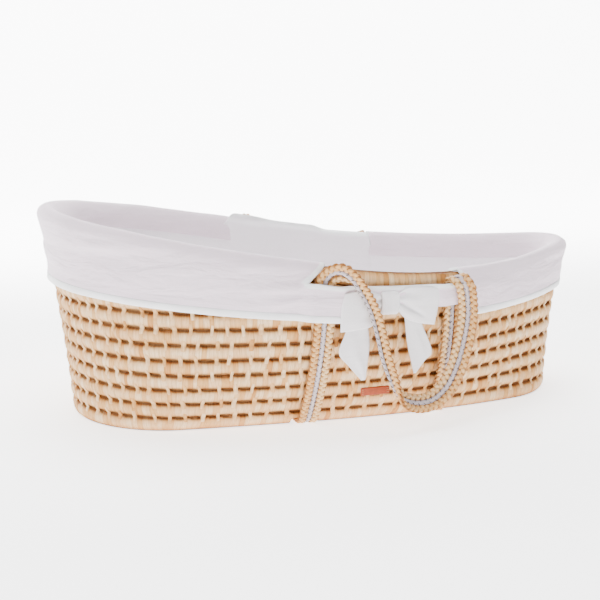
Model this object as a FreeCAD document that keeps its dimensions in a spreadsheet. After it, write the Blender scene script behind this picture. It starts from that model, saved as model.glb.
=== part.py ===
"""Moses basket: coiled palm wall and base, cotton cover tied with bows, two braided carrying
straps that pass under the base, and a mattress.  Millimetres, +Z up, +X towards the foot end.
The origin is on the floor under the middle of the basket."""
import FreeCAD, Part
import math
import os
import Sketcher
from FreeCAD import Vector

doc = FreeCAD.newDocument("moses_basket")
sheet = doc.addObject("Spreadsheet::Sheet", "Sizes")

SIZES = [
    # outline of the wall at the floor and at the rim, over the crests of the coils
    ("base_head", 359), ("base_foot", 366), ("base_half_width", 150),
    ("rim_head", 396.5), ("rim_foot", 396.5), ("rim_half_width", 240),
    ("base_foot_radius", 120), ("rim_foot_radius", 86), ("head_roundness", 0.94),
    ("rim_wide_shift", 105), ("side_top", 210), ("head_top", 293), ("foot_top", 222),
    # saddle line of the rim: a straight fall from the head, then an arc up to the foot
    ("saddle_slope", 0.17), ("saddle_turn", -30), ("saddle_radius", 1420),
    # hem line of the cover, drawn the same way
    ("hem_head", 197), ("hem_slope", 0.1), ("hem_turn", -50), ("hem_radius", 2370), ("hem_depth", 8),
    ("hem_stand", 0.8),
    # coils
    ("row_pitch", 22), ("coil_height", 21.7), ("coil_depth", 18), ("clearance", 0.4),
    ("first_row_drop", 0.65), ("mat_bottom", 9.4), ("mat_depth", 8), ("mat_ring_pitch", 22),
    ("mat_groove", 1.6),
    # straps: two braids with a cotton cord between them
    ("braid_width", 12), ("braid_depth", 8), ("cord_diameter", 5), ("strand_pitch", 9.2),
    ("head_strap_x", -58.5), ("foot_strap_x", 133), ("strap_top_drop", 8), ("strap_run", 4.7),
    ("leg_mid", 110), ("leg_foot", 15), ("leg_offset_top", 5.3), ("leg_offset_mid", 6.6),
    ("leg_offset_foot", 10.4), ("notch_width", 36), ("notch_top", 10.8),
    # cover
    ("cloth", 2), ("skirt_offset", 1), ("tie_offset", 10.2), ("liner_inset", 23), ("cover_cap", 3),
    ("head_skirt_end", -77), ("foot_skirt_end", 152), ("band_bottom", 161), ("band_top", 203),
    ("tie_step", 18.5),
    # carrying handles, hanging outside the bows
    ("handle_out", 20),
    # bow
    ("bow_out", 12.8), ("bow_knot_depth", 7), ("bow_loop_depth", 2.6), ("bow_tail_depth", 2.4),
    # mattress
    ("liner_floor_bottom", 17.8), ("mattress_inset", 31), ("mattress_bottom", 20.4),
    ("mattress_depth", 36), ("mattress_edge", 9),
    # leather tag
    ("tag_length", 43), ("tag_height", 11), ("tag_depth", 1.6), ("tag_x", 30), ("tag_bottom", 45),
    ("stitch_radius", 0.5), ("stitch_length", 4), ("stitch_margin", 3),
]
for row_number, (alias, value) in enumerate(SIZES, start=1):
    sheet.set(f"A{row_number}", alias)
    sheet.set(f"B{row_number}", str(value))
    sheet.setAlias(f"B{row_number}", alias)
doc.recompute()

FULL_ROWS = 8
ALL_ROWS = 12
nodes = []


def size(name):
    """Value of one driving dimension."""
    return float(getattr(sheet, name))


def node(label, obj):
    """Register a finished object as a sub-part of the basket."""
    obj.Label = label
    nodes.append(obj)
    return obj


# ---- the wall's outline at any height -------------------------------------------------------

def outline_terms(level, inset="0"):
    """Expressions for the oval at a height: ends, half-width, widest point and end radii."""
    side = f"min(1; ({level}) / Sizes.side_top)"
    head = f"Sizes.base_head + (Sizes.rim_head - Sizes.base_head) * pow(({level}) / Sizes.head_top; 1.25)"
    foot = f"Sizes.base_foot + (Sizes.rim_foot - Sizes.base_foot) * pow(({level}) / Sizes.foot_top; 1.65)"
    width = (f"Sizes.base_half_width + (Sizes.rim_half_width - Sizes.base_half_width)"
             f" * (1 - pow(1 - {side}; 2))")
    foot_radius = (f"Sizes.base_foot_radius - (Sizes.base_foot_radius - Sizes.rim_foot_radius)"
                   f" * pow({side}; 1.5)")
    return {
        "head_x": f"-(({head}) - ({inset}))",
        "foot_x": f"({foot}) - ({inset})",
        "half_width": f"({width}) - ({inset})",
        "wide_x": f"-Sizes.rim_wide_shift * pow({side}; 2)",
        "head_radius": f"Sizes.head_roundness * ({width}) - ({inset})",
        "foot_radius": f"({foot_radius}) - ({inset})",
    }


def outline(level, inset=0.0):
    """Numbers of the same oval, with the radii of its two side arcs."""
    terms = outline_terms(str(level), str(inset))
    oval = {name: float(sheet.evalExpression(text)) for name, text in terms.items()}
    for end, reach in (("head", oval["wide_x"] - oval["head_x"]), ("foot", oval["foot_x"] - oval["wide_x"])):
        radius = oval[end + "_radius"]
        run = reach - radius
        width = oval["half_width"]
        oval[end + "_side_radius"] = (run ** 2 + width ** 2 - radius ** 2) / (2 * (width - radius))
    return oval


def side_y(x, level, out=0.0):
    """Distance from the X axis to the wall's crest line at a place along the long side."""
    oval = outline(level, -out)
    end = "head" if x < oval["wide_x"] else "foot"
    radius = oval[end + "_side_radius"]
    return oval["half_width"] - radius + math.sqrt(radius ** 2 - (x - oval["wide_x"]) ** 2)


def oval_arcs(oval):
    """Seven tangent arcs of an oval as (centre x, centre y, radius, start angle, end angle)."""
    arcs = []
    head_cx = oval["head_x"] + oval["head_radius"]
    foot_cx = oval["foot_x"] - oval["foot_radius"]
    wide = oval["wide_x"]
    head_cy = oval["half_width"] - oval["head_side_radius"]
    foot_cy = oval["half_width"] - oval["foot_side_radius"]
    head_turn = math.atan2(-head_cy, wide - head_cx)
    foot_turn = math.atan2(-foot_cy, foot_cx - wide)
    quarter = math.pi / 2
    arcs.append((head_cx, 0, oval["head_radius"], math.pi, math.pi + head_turn))
    arcs.append((wide, -head_cy, oval["head_side_radius"], math.pi + head_turn, math.pi + quarter))
    arcs.append((wide, -foot_cy, oval["foot_side_radius"], math.pi + quarter, 2 * math.pi - foot_turn))
    arcs.append((foot_cx, 0, oval["foot_radius"], -foot_turn, foot_turn))
    arcs.append((wide, foot_cy, oval["foot_side_radius"], foot_turn, quarter))
    arcs.append((wide, head_cy, oval["head_side_radius"], quarter, math.pi - head_turn))
    arcs.append((head_cx, 0, oval["head_radius"], math.pi - head_turn, math.pi))
    return arcs


# ---- sketch and body helpers ----------------------------------------------------------------

def new_body(name):
    """Empty PartDesign body."""
    return doc.addObject("PartDesign::Body", name)


def add_sketch(body, name, plane, height=None):
    """Sketch on one of the body's own origin planes, raised by an expression if given."""
    sketch = body.newObject("Sketcher::SketchObject", name)
    plane_feature = [item for item in body.Origin.OriginFeatures if item.Role == plane][0]
    sketch.AttachmentSupport = [(plane_feature, "")]
    sketch.MapMode = "FlatFace"
    if height is not None:
        sketch.setExpression("AttachmentOffset.Base.z", height)
    return sketch


def draw_oval(sketch, level, inset):
    """Closed oval of seven arcs whose sizes follow the wall's outline at a height."""
    terms = outline_terms(level, inset)
    oval = outline(level, inset)
    first = sketch.GeometryCount
    for centre_x, centre_y, radius, start, end in oval_arcs(oval):
        circle = Part.Circle(Vector(centre_x, centre_y, 0), Vector(0, 0, 1), radius)
        sketch.addGeometry(Part.ArcOfCircle(circle, start, end), False)
    arcs = [first + step for step in range(7)]
    start_point, end_point, centre = 1, 2, 3
    for here, after in zip(arcs, arcs[1:] + arcs[:1]):
        sketch.addConstraint(Sketcher.Constraint("Tangent", here, end_point, after, start_point))
    head_front, side_head_front, side_foot_front, foot, side_foot_back, side_head_back, head_back = arcs
    sketch.addConstraint(Sketcher.Constraint("PointOnObject", head_front, start_point, -1))
    sketch.addConstraint(Sketcher.Constraint("PointOnObject", head_front, centre, -1))
    sketch.addConstraint(Sketcher.Constraint("PointOnObject", foot, centre, -1))

    def bind(kind, constraint, text):
        index = sketch.addConstraint(constraint)
        sketch.renameConstraint(index, kind)
        sketch.setExpression("Constraints." + kind, text)

    prefix = f"oval{first}_"
    distance = Sketcher.Constraint
    bind(prefix + "head", distance("DistanceX", head_front, start_point, -1, 1, -oval["head_x"]),
         f"-({terms['head_x']})")
    bind(prefix + "head_radius", distance("Radius", head_front, oval["head_radius"]), terms["head_radius"])
    bind(prefix + "foot_radius", distance("Radius", foot, oval["foot_radius"]), terms["foot_radius"])
    bind(prefix + "foot", distance("DistanceX", -1, 1, foot, centre, oval["foot_x"] - oval["foot_radius"]),
         f"({terms['foot_x']}) - ({terms['foot_radius']})")
    bind(prefix + "front", distance("DistanceY", side_head_front, end_point, -1, 1, oval["half_width"]),
         terms["half_width"])
    bind(prefix + "back", distance("DistanceY", -1, 1, side_foot_back, end_point, oval["half_width"]),
         terms["half_width"])
    for side, widest in ((side_head_front, "wide_front"), (side_head_back, "wide_back")):
        bind(prefix + widest, distance("DistanceX", -1, 1, side, centre, oval["wide_x"]), terms["wide_x"])
    sketch.addConstraint(distance("Vertical", side_head_front, centre, side_head_front, end_point))
    sketch.addConstraint(distance("Vertical", side_head_back, centre, side_head_back, start_point))
    sketch.addConstraint(distance("Equal", head_front, head_back))
    return sketch


def oval_shell(name, outer_inset, inner_inset, levels):
    """Wall-shaped shell lofted through the outline at several heights, hollow in the middle."""
    body = new_body(name)
    for kind, feature, inset in (("outer", "AdditiveLoft", outer_inset),
                                 ("inner", "SubtractiveLoft", inner_inset)):
        sketches = []
        for step, level in enumerate(levels):
            sketch = add_sketch(body, f"{name}_{kind}_{step}", "XY_Plane", level)
            sketches.append(draw_oval(sketch, level, inset))
        doc.recompute()
        loft = body.newObject("PartDesign::" + feature, f"{name}_{kind}")
        loft.Profile = sketches[0]
        loft.Sections = sketches[1:]
        doc.recompute()
    return body


def line_prism(name, head, slope, turn, radius):
    """Everything below a line that falls straight from the head, then rises on an arc."""
    left, right, floor, half_depth = -450, 450, -20, 350
    body = new_body(name)
    sketch = add_sketch(body, name + "_profile", "XZ_Plane")
    fall = f"({head}) - ({slope}) * "
    turn_x = float(sheet.evalExpression(turn))
    turn_z = float(sheet.evalExpression(f"{fall}(({turn}) + Sizes.rim_head)"))
    left_z = float(sheet.evalExpression(f"{fall}({left} + Sizes.rim_head)"))
    arc_radius = float(sheet.evalExpression(radius))
    lean = math.atan(float(sheet.evalExpression(slope)))
    centre = Vector(turn_x + arc_radius * math.sin(lean), turn_z + arc_radius * math.cos(lean), 0)
    end_turn = math.asin((right - centre.x) / arc_radius)
    arc_end = Vector(right, centre.y - arc_radius * math.cos(end_turn), 0)
    corners = [Vector(left, floor, 0), Vector(left, left_z, 0), Vector(turn_x, turn_z, 0)]
    sketch.addGeometry(Part.LineSegment(corners[0], corners[1]), False)
    sketch.addGeometry(Part.LineSegment(corners[1], corners[2]), False)
    circle = Part.Circle(centre, Vector(0, 0, 1), arc_radius)
    three_quarters = 1.5 * math.pi
    sketch.addGeometry(Part.ArcOfCircle(circle, three_quarters - lean, three_quarters + end_turn), False)
    sketch.addGeometry(Part.LineSegment(arc_end, Vector(right, floor, 0)), False)
    sketch.addGeometry(Part.LineSegment(Vector(right, floor, 0), corners[0]), False)
    rule = Sketcher.Constraint
    for constraint in (rule("Coincident", 0, 2, 1, 1), rule("Tangent", 1, 2, 2, 1),
                       rule("Coincident", 2, 2, 3, 1), rule("Coincident", 3, 2, 4, 1),
                       rule("Coincident", 4, 2, 0, 1), rule("Vertical", 0), rule("Vertical", 3),
                       rule("Horizontal", 4), rule("DistanceX", 0, 1, -1, 1, -left),
                       rule("DistanceX", -1, 1, 3, 2, right), rule("DistanceY", 0, 1, -1, 1, -floor)):
        sketch.addConstraint(constraint)
    for label, constraint, text in (
            ("left_height", rule("DistanceY", -1, 1, 1, 1, left_z), f"{fall}({left} + Sizes.rim_head)"),
            ("turn_height", rule("DistanceY", -1, 1, 2, 1, turn_z), f"{fall}(({turn}) + Sizes.rim_head)"),
            ("turn_place", rule("DistanceX", 2, 1, -1, 1, -turn_x), f"-({turn})"),
            ("arc_radius", rule("Radius", 2, arc_radius), radius)):
        index = sketch.addConstraint(constraint)
        sketch.renameConstraint(index, label)
        sketch.setExpression("Constraints." + label, text)
    pad = body.newObject("PartDesign::Pad", name + "_pad")
    pad.Profile = sketch
    pad.Length = 2 * half_depth
    pad.SideType = "Symmetric"
    doc.recompute()
    return body


def saddle_prism(name, drop):
    """Everything below the rim's saddle line, lowered by an expression."""
    return line_prism(name, f"Sizes.head_top - ({drop})", "Sizes.saddle_slope", "Sizes.saddle_turn",
                      "Sizes.saddle_radius")


def hem_prism(name, rise):
    """Everything below the cover's hem line, raised by an expression."""
    return line_prism(name, f"Sizes.hem_head + ({rise})", "Sizes.hem_slope", "Sizes.hem_turn",
                      "Sizes.hem_radius")


def box(name, low, high):
    """Box between two corners given as expressions."""
    piece = doc.addObject("Part::Box", name)
    for axis, side, start, end in zip("xyz", ("Length", "Width", "Height"), low, high):
        piece.setExpression("Placement.Base." + axis, start)
        piece.setExpression(side, f"({end}) - ({start})")
    return piece


def common(name, *pieces):
    """What all the pieces share."""
    result = doc.addObject("Part::MultiCommon", name)
    result.Shapes = list(pieces)
    return result


def cut(name, base, tool):
    """The base without the tool."""
    result = doc.addObject("Part::Cut", name)
    result.Base = base
    result.Tool = tool
    return result


def fuse(name, *pieces):
    """The pieces as one."""
    result = doc.addObject("Part::MultiFuse", name)
    result.Shapes = list(pieces)
    return result


# ---- coiled wall ----------------------------------------------------------------------------

def coil_ring(name, level, drop="0"):
    """One row of the wall: an oval-section coil bent round the basket at its own height."""
    body = new_body(name)
    inset = "Sizes.coil_depth / 2"
    spine = draw_oval(add_sketch(body, name + "_spine", "XY_Plane"), level, inset)
    section = add_sketch(body, name + "_section", "XZ_Plane")
    head_x = outline_terms(level, inset)["head_x"]
    centre = Vector(float(sheet.evalExpression(head_x)), 0, 0)
    half_height = size("coil_height") / 2
    half_depth = size("coil_depth") / 2
    ellipse = Part.Ellipse(centre + Vector(0, half_height, 0), centre - Vector(half_depth, 0, 0), centre)
    section.addGeometry(ellipse, False)
    section.exposeInternalGeometry(0)
    rule = Sketcher.Constraint
    for label, constraint, text in (
            ("centre_x", rule("DistanceX", 0, 3, -1, 1, -centre.x), f"-({head_x})"),
            ("height", rule("Distance", 1, 2 * half_height), "Sizes.coil_height"),
            ("depth", rule("Distance", 2, 2 * half_depth), "Sizes.coil_depth")):
        index = section.addConstraint(constraint)
        section.renameConstraint(index, label)
        section.setExpression("Constraints." + label, text)
    section.addConstraint(rule("PointOnObject", 0, 3, -1))
    section.addConstraint(rule("Vertical", 1))
    doc.recompute()
    pipe = body.newObject("PartDesign::AdditivePipe", name + "_coil")
    pipe.Profile = section
    pipe.Spine = spine
    body.setExpression("Placement.Base.z", f"{level} - ({drop})")
    doc.recompute()
    return body


RIM_BOTTOM = "Sizes.cover_cap + 2 * Sizes.clearance + Sizes.coil_height"
under_rim = saddle_prism("under_rim", RIM_BOTTOM)
notch_tools = [box("floor_cut", ("-500", "-400", "-20"), ("500", "400", "0"))]
for end in ("head", "foot"):
    middle = f"Sizes.{end}_strap_x"
    notch_tools.append(box(end + "_strap_notch",
                           (f"{middle} - Sizes.notch_width / 2", "-300", "-10"),
                           (f"{middle} + Sizes.notch_width / 2", "300", "Sizes.notch_top")))
under_first_row = fuse("under_first_row", *notch_tools)

for row in range(1, ALL_ROWS + 1):
    row_level = f"Sizes.row_pitch * {row - 0.5}"
    row_name = f"wall_row_{row:02d}"
    if row == 1:
        ring = coil_ring("first_ring", row_level, "Sizes.first_row_drop")
        node(row_name, cut("first_row", ring, under_first_row))
    elif row <= FULL_ROWS:
        node(row_name, coil_ring(f"row_{row}", row_level))
    else:
        ring = coil_ring(f"ring_{row}", row_level)
        node(row_name, common(f"riser_{row}", ring, under_rim))

RIM_LEVELS = ("170", "215", "255", "305")
rim_shell = oval_shell("rim_shell", "0", "Sizes.coil_depth", RIM_LEVELS)
rim_top = saddle_prism("rim_top", "Sizes.cover_cap + Sizes.clearance")
under_rim_coil = saddle_prism("under_rim_coil", RIM_BOTTOM + " - Sizes.clearance")
rim_blank = common("rim_blank", rim_shell, rim_top)
node("rim_coil", cut("rim_band", rim_blank, under_rim_coil))
doc.recompute()


# ---- base mat -------------------------------------------------------------------------------

MAT_GROOVES = 4
FIRST_LEVEL = "Sizes.row_pitch / 2"


def base_mat():
    """Flat oval mat inside the first row, grooved where its rings of coil meet."""
    body = new_body("mat")
    edge = "Sizes.coil_depth + Sizes.clearance"
    slab_sketch = draw_oval(add_sketch(body, "mat_outline", "XY_Plane"), FIRST_LEVEL, edge)
    slab = body.newObject("PartDesign::Pad", "mat_slab")
    slab.Profile = slab_sketch
    slab.setExpression("Length", "Sizes.mat_depth")
    doc.recompute()
    for ring in range(1, MAT_GROOVES + 1):
        groove_inset = f"{edge} + {ring} * Sizes.mat_ring_pitch"
        sketch = add_sketch(body, f"mat_groove_{ring}_outline", "XY_Plane", "Sizes.mat_depth")
        draw_oval(sketch, FIRST_LEVEL, groove_inset)
        draw_oval(sketch, FIRST_LEVEL, f"{groove_inset} + Sizes.mat_groove")
        full_volume = body.Shape.Volume
        groove = body.newObject("PartDesign::Pocket", f"mat_groove_{ring}")
        groove.Profile = sketch
        groove.setExpression("Length", "Sizes.mat_groove")
        doc.recompute()
        if body.Shape.Volume >= full_volume:
            raise RuntimeError(f"groove {ring} of the mat cut nothing")
    body.setExpression("Placement.Base.z", "Sizes.mat_bottom")
    return body


node("base_mat", base_mat())


# ---- straps, as swept strands ---------------------------------------------------------------

def strand_section(start, along, across, width, depth):
    """Closed oval section at the start of a strand."""
    normal = along.cross(across)
    normal.normalize()
    if abs(width - depth) < 1e-6:
        return Part.Wire(Part.Circle(start, along, width / 2).toShape())
    ellipse = Part.Ellipse(start + across * (width / 2), start + normal * (depth / 2), start)
    return Part.Wire(ellipse.toShape())


def sweep_strand(label, path, across, width, depth):
    """Solid of one strand along a path of straight runs and tangent arcs."""
    start = path.Edges[0].valueAt(path.Edges[0].FirstParameter)
    along = path.Edges[0].tangentAt(path.Edges[0].FirstParameter)
    section = strand_section(start, along, across, width, depth)
    solid = path.makePipeShell([section], True, False)
    swept = math.pi / 4 * width * depth * path.Length
    if abs(solid.Volume - swept) > 0.02 * swept:
        raise RuntimeError(f"{label} swept to {solid.Volume:.0f} mm3, not {swept:.0f}")
    piece = doc.addObject("Part::Feature", label + "_solid")
    piece.Shape = solid
    return node(label, piece)


def saddle_height(x):
    """Height of the rim's saddle line."""
    turn = size("saddle_turn")
    height = size("head_top") - size("saddle_slope") * (x + size("rim_head"))
    if x > turn:
        height += (x - turn) ** 2 / (2 * size("saddle_radius"))
    return height


def strap_path(x):
    """Down the front of the wall, round under the base and up the back, at one place in X."""
    foot_level = size("leg_foot")
    run = size("strap_run")
    ends = []
    for level, offset in ((saddle_height(x) - size("strap_top_drop"), "leg_offset_top"),
                          (size("leg_mid"), "leg_offset_mid"), (foot_level, "leg_offset_foot")):
        ends.append((side_y(x, level) + size(offset), level))
    sides = []
    for sign in (-1, 1):
        top, middle, foot = [Vector(x, sign * out, level) for out, level in ends]
        leg = Part.Arc(top, middle, foot).toShape()
        heading = leg.tangentAt(leg.LastParameter)
        lean = math.asin(abs(heading.y) / heading.Length)
        radius = (foot_level - run) / (1 - math.sin(lean))
        centre_out = ends[2][0] - radius * math.cos(lean)
        half_turn = (lean + math.pi / 2) / 2
        middle = Vector(x, sign * (centre_out + radius * math.cos(half_turn)),
                        run + radius - radius * math.sin(half_turn))
        run_end = Vector(x, sign * centre_out, run)
        sides.append((leg, Part.Arc(foot, middle, run_end).toShape(), run_end))
    under = Part.LineSegment(sides[0][2], sides[1][2]).toShape()
    return Part.Wire([sides[0][0], sides[0][1], under, sides[1][1], sides[1][0]])


STRANDS = (("outer_braid", -1, "braid_width", "braid_depth"),
           ("cotton_cord", 0, "cord_diameter", "cord_diameter"),
           ("inner_braid", 1, "braid_width", "braid_depth"))

for strap, towards_middle in (("head", 1), ("foot", -1)):
    for strand, side, width, depth in STRANDS:
        strand_x = size(strap + "_strap_x") + towards_middle * side * size("strand_pitch")
        sweep_strand(f"{strap}_strap_{strand}", strap_path(strand_x), Vector(1, 0, 0),
                     size(width), size(depth))


# ---- carrying handles -----------------------------------------------------------------------

# Corners of one hanging loop in its own plane: along the basket from the middle of the two
# straps, height, and the radius of the bend there.
HANDLE_ROUTE = ((-67, 222, 0), (-56, 199, 60), (-38, 154, 90), (-24, 104, 90), (3, 48, 44),
                (39, 34, 40), (72, 47, 42), (98, 95, 70), (110, 150, 75), (98, 212, 0))


def rounded_path(points, place):
    """Straight runs joined by tangent arcs through corner points given as (u, v, radius)."""
    edges = []
    last = place(points[0][0], points[0][1])
    for before, corner, after in zip(points, points[1:], points[2:]):
        here = place(corner[0], corner[1])
        to_before = place(before[0], before[1]) - here
        to_after = place(after[0], after[1]) - here
        to_before.normalize()
        to_after.normalize()
        half_angle = to_before.getAngle(to_after) / 2
        reach = corner[2] / math.tan(half_angle)
        start = here + to_before * reach
        end = here + to_after * reach
        bisector = to_before + to_after
        bisector.normalize()
        middle = here + bisector * (corner[2] / math.sin(half_angle) - corner[2])
        edges.append(Part.LineSegment(last, start).toShape())
        edges.append(Part.Arc(start, middle, end).toShape())
        last = end
    edges.append(Part.LineSegment(last, place(points[-1][0], points[-1][1])).toShape())
    return Part.Wire(edges)


def offset_route(points, distance):
    """The same route moved sideways in its plane, to the left of its direction."""
    moved = []
    for step, (u, v, radius) in enumerate(points):
        before = points[max(step - 1, 0)]
        after = points[min(step + 1, len(points) - 1)]
        first = math.atan2(v - before[1], u - before[0]) if step > 0 else None
        second = math.atan2(after[1] - v, after[0] - u) if step < len(points) - 1 else None
        first = second if first is None else first
        second = first if second is None else second
        heading = (first + second) / 2
        turn = second - first
        reach = distance / math.cos(turn / 2)
        new_radius = radius - distance * math.copysign(1, turn) if radius else 0
        moved.append((u - reach * math.sin(heading), v + reach * math.cos(heading), new_radius))
    return moved


chord_head = side_y(size("head_strap_x"), size("band_top"))
chord_foot = side_y(size("foot_strap_x"), size("band_top"))
chord_turn = math.atan2(chord_head - chord_foot, size("foot_strap_x") - size("head_strap_x"))
chord_middle = Vector((size("head_strap_x") + size("foot_strap_x")) / 2,
                      -(chord_head + chord_foot) / 2, 0)
chord_along = Vector(math.cos(chord_turn), math.sin(chord_turn), 0)
chord_out = Vector(math.sin(chord_turn), -math.cos(chord_turn), 0)


def front_place(out):
    """Map from the handle's plane, at a distance outside the wall, to the basket's frame."""
    return lambda u, v: chord_middle + chord_along * u + chord_out * out + Vector(0, 0, v)


def mirrored(vector, side):
    """The vector for the front of the basket, or its mirror image for the back."""
    return vector if side == "front" else Vector(vector.x, -vector.y, vector.z)


for side in ("front", "back"):
    for strand, step, width, depth in STRANDS:
        route = offset_route(HANDLE_ROUTE, step * size("strand_pitch"))
        place = front_place(size("handle_out"))
        path = rounded_path(route, lambda u, v: mirrored(place(u, v), side))
        first_edge = path.Edges[0]
        along = first_edge.tangentAt(first_edge.FirstParameter)
        across = mirrored(chord_out, side).cross(along)
        across.normalize()
        sweep_strand(f"{side}_handle_{strand}", path, across, size(width), size(depth))


# ---- cotton cover ---------------------------------------------------------------------------

SKIRT_LEVELS = ("135", "175", "220", "305")
SKIRT_OUT = "-(Sizes.skirt_offset + Sizes.cloth)"
FAR = 500
saddle_line = saddle_prism("saddle_line", "0")
under_cap = saddle_prism("under_cap", "Sizes.cover_cap - Sizes.clearance / 4")
hem_top = hem_prism("hem_top", "Sizes.hem_depth")
hem_bottom = hem_prism("hem_bottom", "0")
skirt_shell = oval_shell("skirt_shell", SKIRT_OUT, "-Sizes.skirt_offset", SKIRT_LEVELS)
cap_shell = oval_shell("cap_shell", SKIRT_OUT, "Sizes.liner_inset + Sizes.cloth", SKIRT_LEVELS)
HEM_OUT = "-(Sizes.skirt_offset + Sizes.cloth + Sizes.hem_stand)"
hem_shell = oval_shell("hem_shell", HEM_OUT, "-Sizes.skirt_offset",
                       SKIRT_LEVELS[:3])
ENDS = {"head": (str(-FAR), "Sizes.head_skirt_end"), "foot": ("Sizes.foot_skirt_end", str(FAR))}
for end, (low_x, high_x) in ENDS.items():
    region = box(end + "_region", (low_x, str(-FAR), "0"), (high_x, str(FAR), str(FAR)))
    skirt_blank = common(end + "_skirt_blank", skirt_shell, saddle_line, region)
    skirt_wall = cut(end + "_skirt_wall", skirt_blank, hem_top)
    cap_blank = common(end + "_cap_blank", cap_shell, saddle_line, region)
    cap_ring = cut(end + "_cap_ring", cap_blank, under_cap)
    node(end + "_skirt", fuse(end + "_skirt_and_cap", skirt_wall, cap_ring))
    hem_blank = common(end + "_hem_blank", hem_shell, hem_top, region)
    node(end + "_hem", cut(end + "_hem_band", hem_blank, hem_bottom))

LINER_LEVELS = ("Sizes.liner_floor_bottom", "60", "110", "170", "235", "305")
liner_shell = oval_shell("liner_shell", "Sizes.liner_inset", "Sizes.liner_inset + Sizes.cloth", LINER_LEVELS)
node("liner_wall", common("liner_band", liner_shell, rim_top))


def oval_pad(name, level, inset, depth, bottom):
    """Flat pad with the outline that the wall has at a level."""
    body = new_body(name)
    pad = body.newObject("PartDesign::Pad", name + "_pad")
    pad.Profile = draw_oval(add_sketch(body, name + "_outline", "XY_Plane"), level, inset)
    pad.setExpression("Length", depth)
    body.setExpression("Placement.Base.z", bottom)
    doc.recompute()
    return body


node("liner_floor", oval_pad("floor_cloth", "Sizes.liner_floor_bottom",
                             "Sizes.liner_inset + Sizes.cloth + Sizes.clearance", "Sizes.cloth",
                             "Sizes.liner_floor_bottom"))

TIE_BULGE_OUT = "-(Sizes.tie_offset + Sizes.cloth)"
BAND_LEVELS = ("150", "175", "215")
flat_tie = oval_shell("flat_tie", SKIRT_OUT, "-Sizes.skirt_offset", BAND_LEVELS)
bulged_tie = oval_shell("bulged_tie", TIE_BULGE_OUT, "-Sizes.tie_offset", BAND_LEVELS)
step_tie = oval_shell("step_tie", TIE_BULGE_OUT, "-Sizes.skirt_offset", BAND_LEVELS)
head_step = "Sizes.head_strap_x + Sizes.tie_step"
foot_step = "Sizes.foot_strap_x - Sizes.tie_step"
for side, low_y, high_y in (("front", str(-FAR), "0"), ("back", "0", str(FAR))):
    def band_region(name, low_x, high_x):
        return box(f"{side}_{name}", (low_x, low_y, "Sizes.band_bottom"), (high_x, high_y, "Sizes.band_top"))

    pieces = [
        common(side + "_tie_head", bulged_tie,
               band_region("head_bulge", "Sizes.head_skirt_end + Sizes.clearance", head_step)),
        common(side + "_tie_head_step", step_tie,
               band_region("head_side", f"{head_step} - Sizes.cloth", head_step)),
        common(side + "_tie_middle", flat_tie,
               band_region("middle", f"{head_step} - Sizes.cloth", f"{foot_step} + Sizes.cloth")),
        common(side + "_tie_foot_step", step_tie,
               band_region("foot_side", foot_step, f"{foot_step} + Sizes.cloth")),
        common(side + "_tie_foot", bulged_tie,
               band_region("foot_bulge", foot_step, "Sizes.foot_skirt_end - Sizes.clearance")),
    ]
    node(side + "_tie_band", fuse(side + "_tie", *pieces))


# ---- bows -----------------------------------------------------------------------------------

# Outlines in the handle's plane: along the basket and height, with the depth of each piece.
BOW_PIECES = (
    ("knot", "bow_knot_depth", ((-19, 170), (6, 170), (6, 198), (-19, 198))),
    ("head_loop", "bow_loop_depth", ((-76, 154), (-30, 156), (-19.6, 172), (-19.6, 197), (-74, 203))),
    ("foot_loop", "bow_loop_depth", ((6.6, 172), (20, 158), (64, 147), (71, 194), (6.6, 197))),
    ("head_tail", "bow_tail_depth", ((-40, 151), (-72, 149), (-88, 124), (-49, 81), (-39, 129))),
    ("foot_tail", "bow_tail_depth", ((14, 154), (39, 149), (57, 108), (32, 81), (20, 122))),
)
EDGE_SOFTNESS = 0.3


def flat_piece(label, side, outline_points, out, depth):
    """Prism of a flat outline standing in the handle's plane, with softened edges."""
    place = front_place(out)
    corners = [mirrored(place(u, v), side) for u, v in outline_points]
    face = Part.Face(Part.makePolygon(corners + corners[:1]))
    solid = face.extrude(mirrored(chord_out, side) * depth)
    solid = solid.makeFillet(EDGE_SOFTNESS * depth, solid.Edges)
    piece = doc.addObject("Part::Feature", label + "_solid")
    piece.Shape = solid
    return node(label, piece)


for side in ("front", "back"):
    for piece, depth_name, points in BOW_PIECES:
        depth = size(depth_name)
        flat_piece(f"{side}_bow_{piece}", side, points, size("bow_out"), depth)


# ---- mattress -------------------------------------------------------------------------------

def soft_pad(name, inset, depth, edge, bottom):
    """Oval pad whose top and bottom edges are rounded."""
    body = oval_pad(name, "Sizes.mattress_bottom", inset, depth, bottom)
    pad = body.Tip
    flats = [f"Face{number}" for number, face in enumerate(pad.Shape.Faces, start=1)
             if isinstance(face.Surface, Part.Plane)]
    rounding = body.newObject("PartDesign::Fillet", name + "_edges")
    rounding.Base = (pad, flats)
    rounding.setExpression("Radius", edge)
    doc.recompute()
    return body


wrap = "(Sizes.cloth + Sizes.clearance)"
core_terms = (f"Sizes.mattress_inset + {wrap}", f"Sizes.mattress_depth - 2 * {wrap}",
              f"Sizes.mattress_edge - {wrap}", f"Sizes.mattress_bottom + {wrap}")
pocket_terms = ("Sizes.mattress_inset + Sizes.cloth", "Sizes.mattress_depth - 2 * Sizes.cloth",
                "Sizes.mattress_edge - Sizes.cloth", "Sizes.mattress_bottom + Sizes.cloth")
outer_terms = ("Sizes.mattress_inset", "Sizes.mattress_depth", "Sizes.mattress_edge", "Sizes.mattress_bottom")
node("mattress_core", soft_pad("core", *core_terms))
node("mattress_cover", cut("cover_bag", soft_pad("bag_outer", *outer_terms), soft_pad("bag_inner", *pocket_terms)))


# ---- leather tag ----------------------------------------------------------------------------

STITCH_STEPS = (0.3, 0.7)


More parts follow.
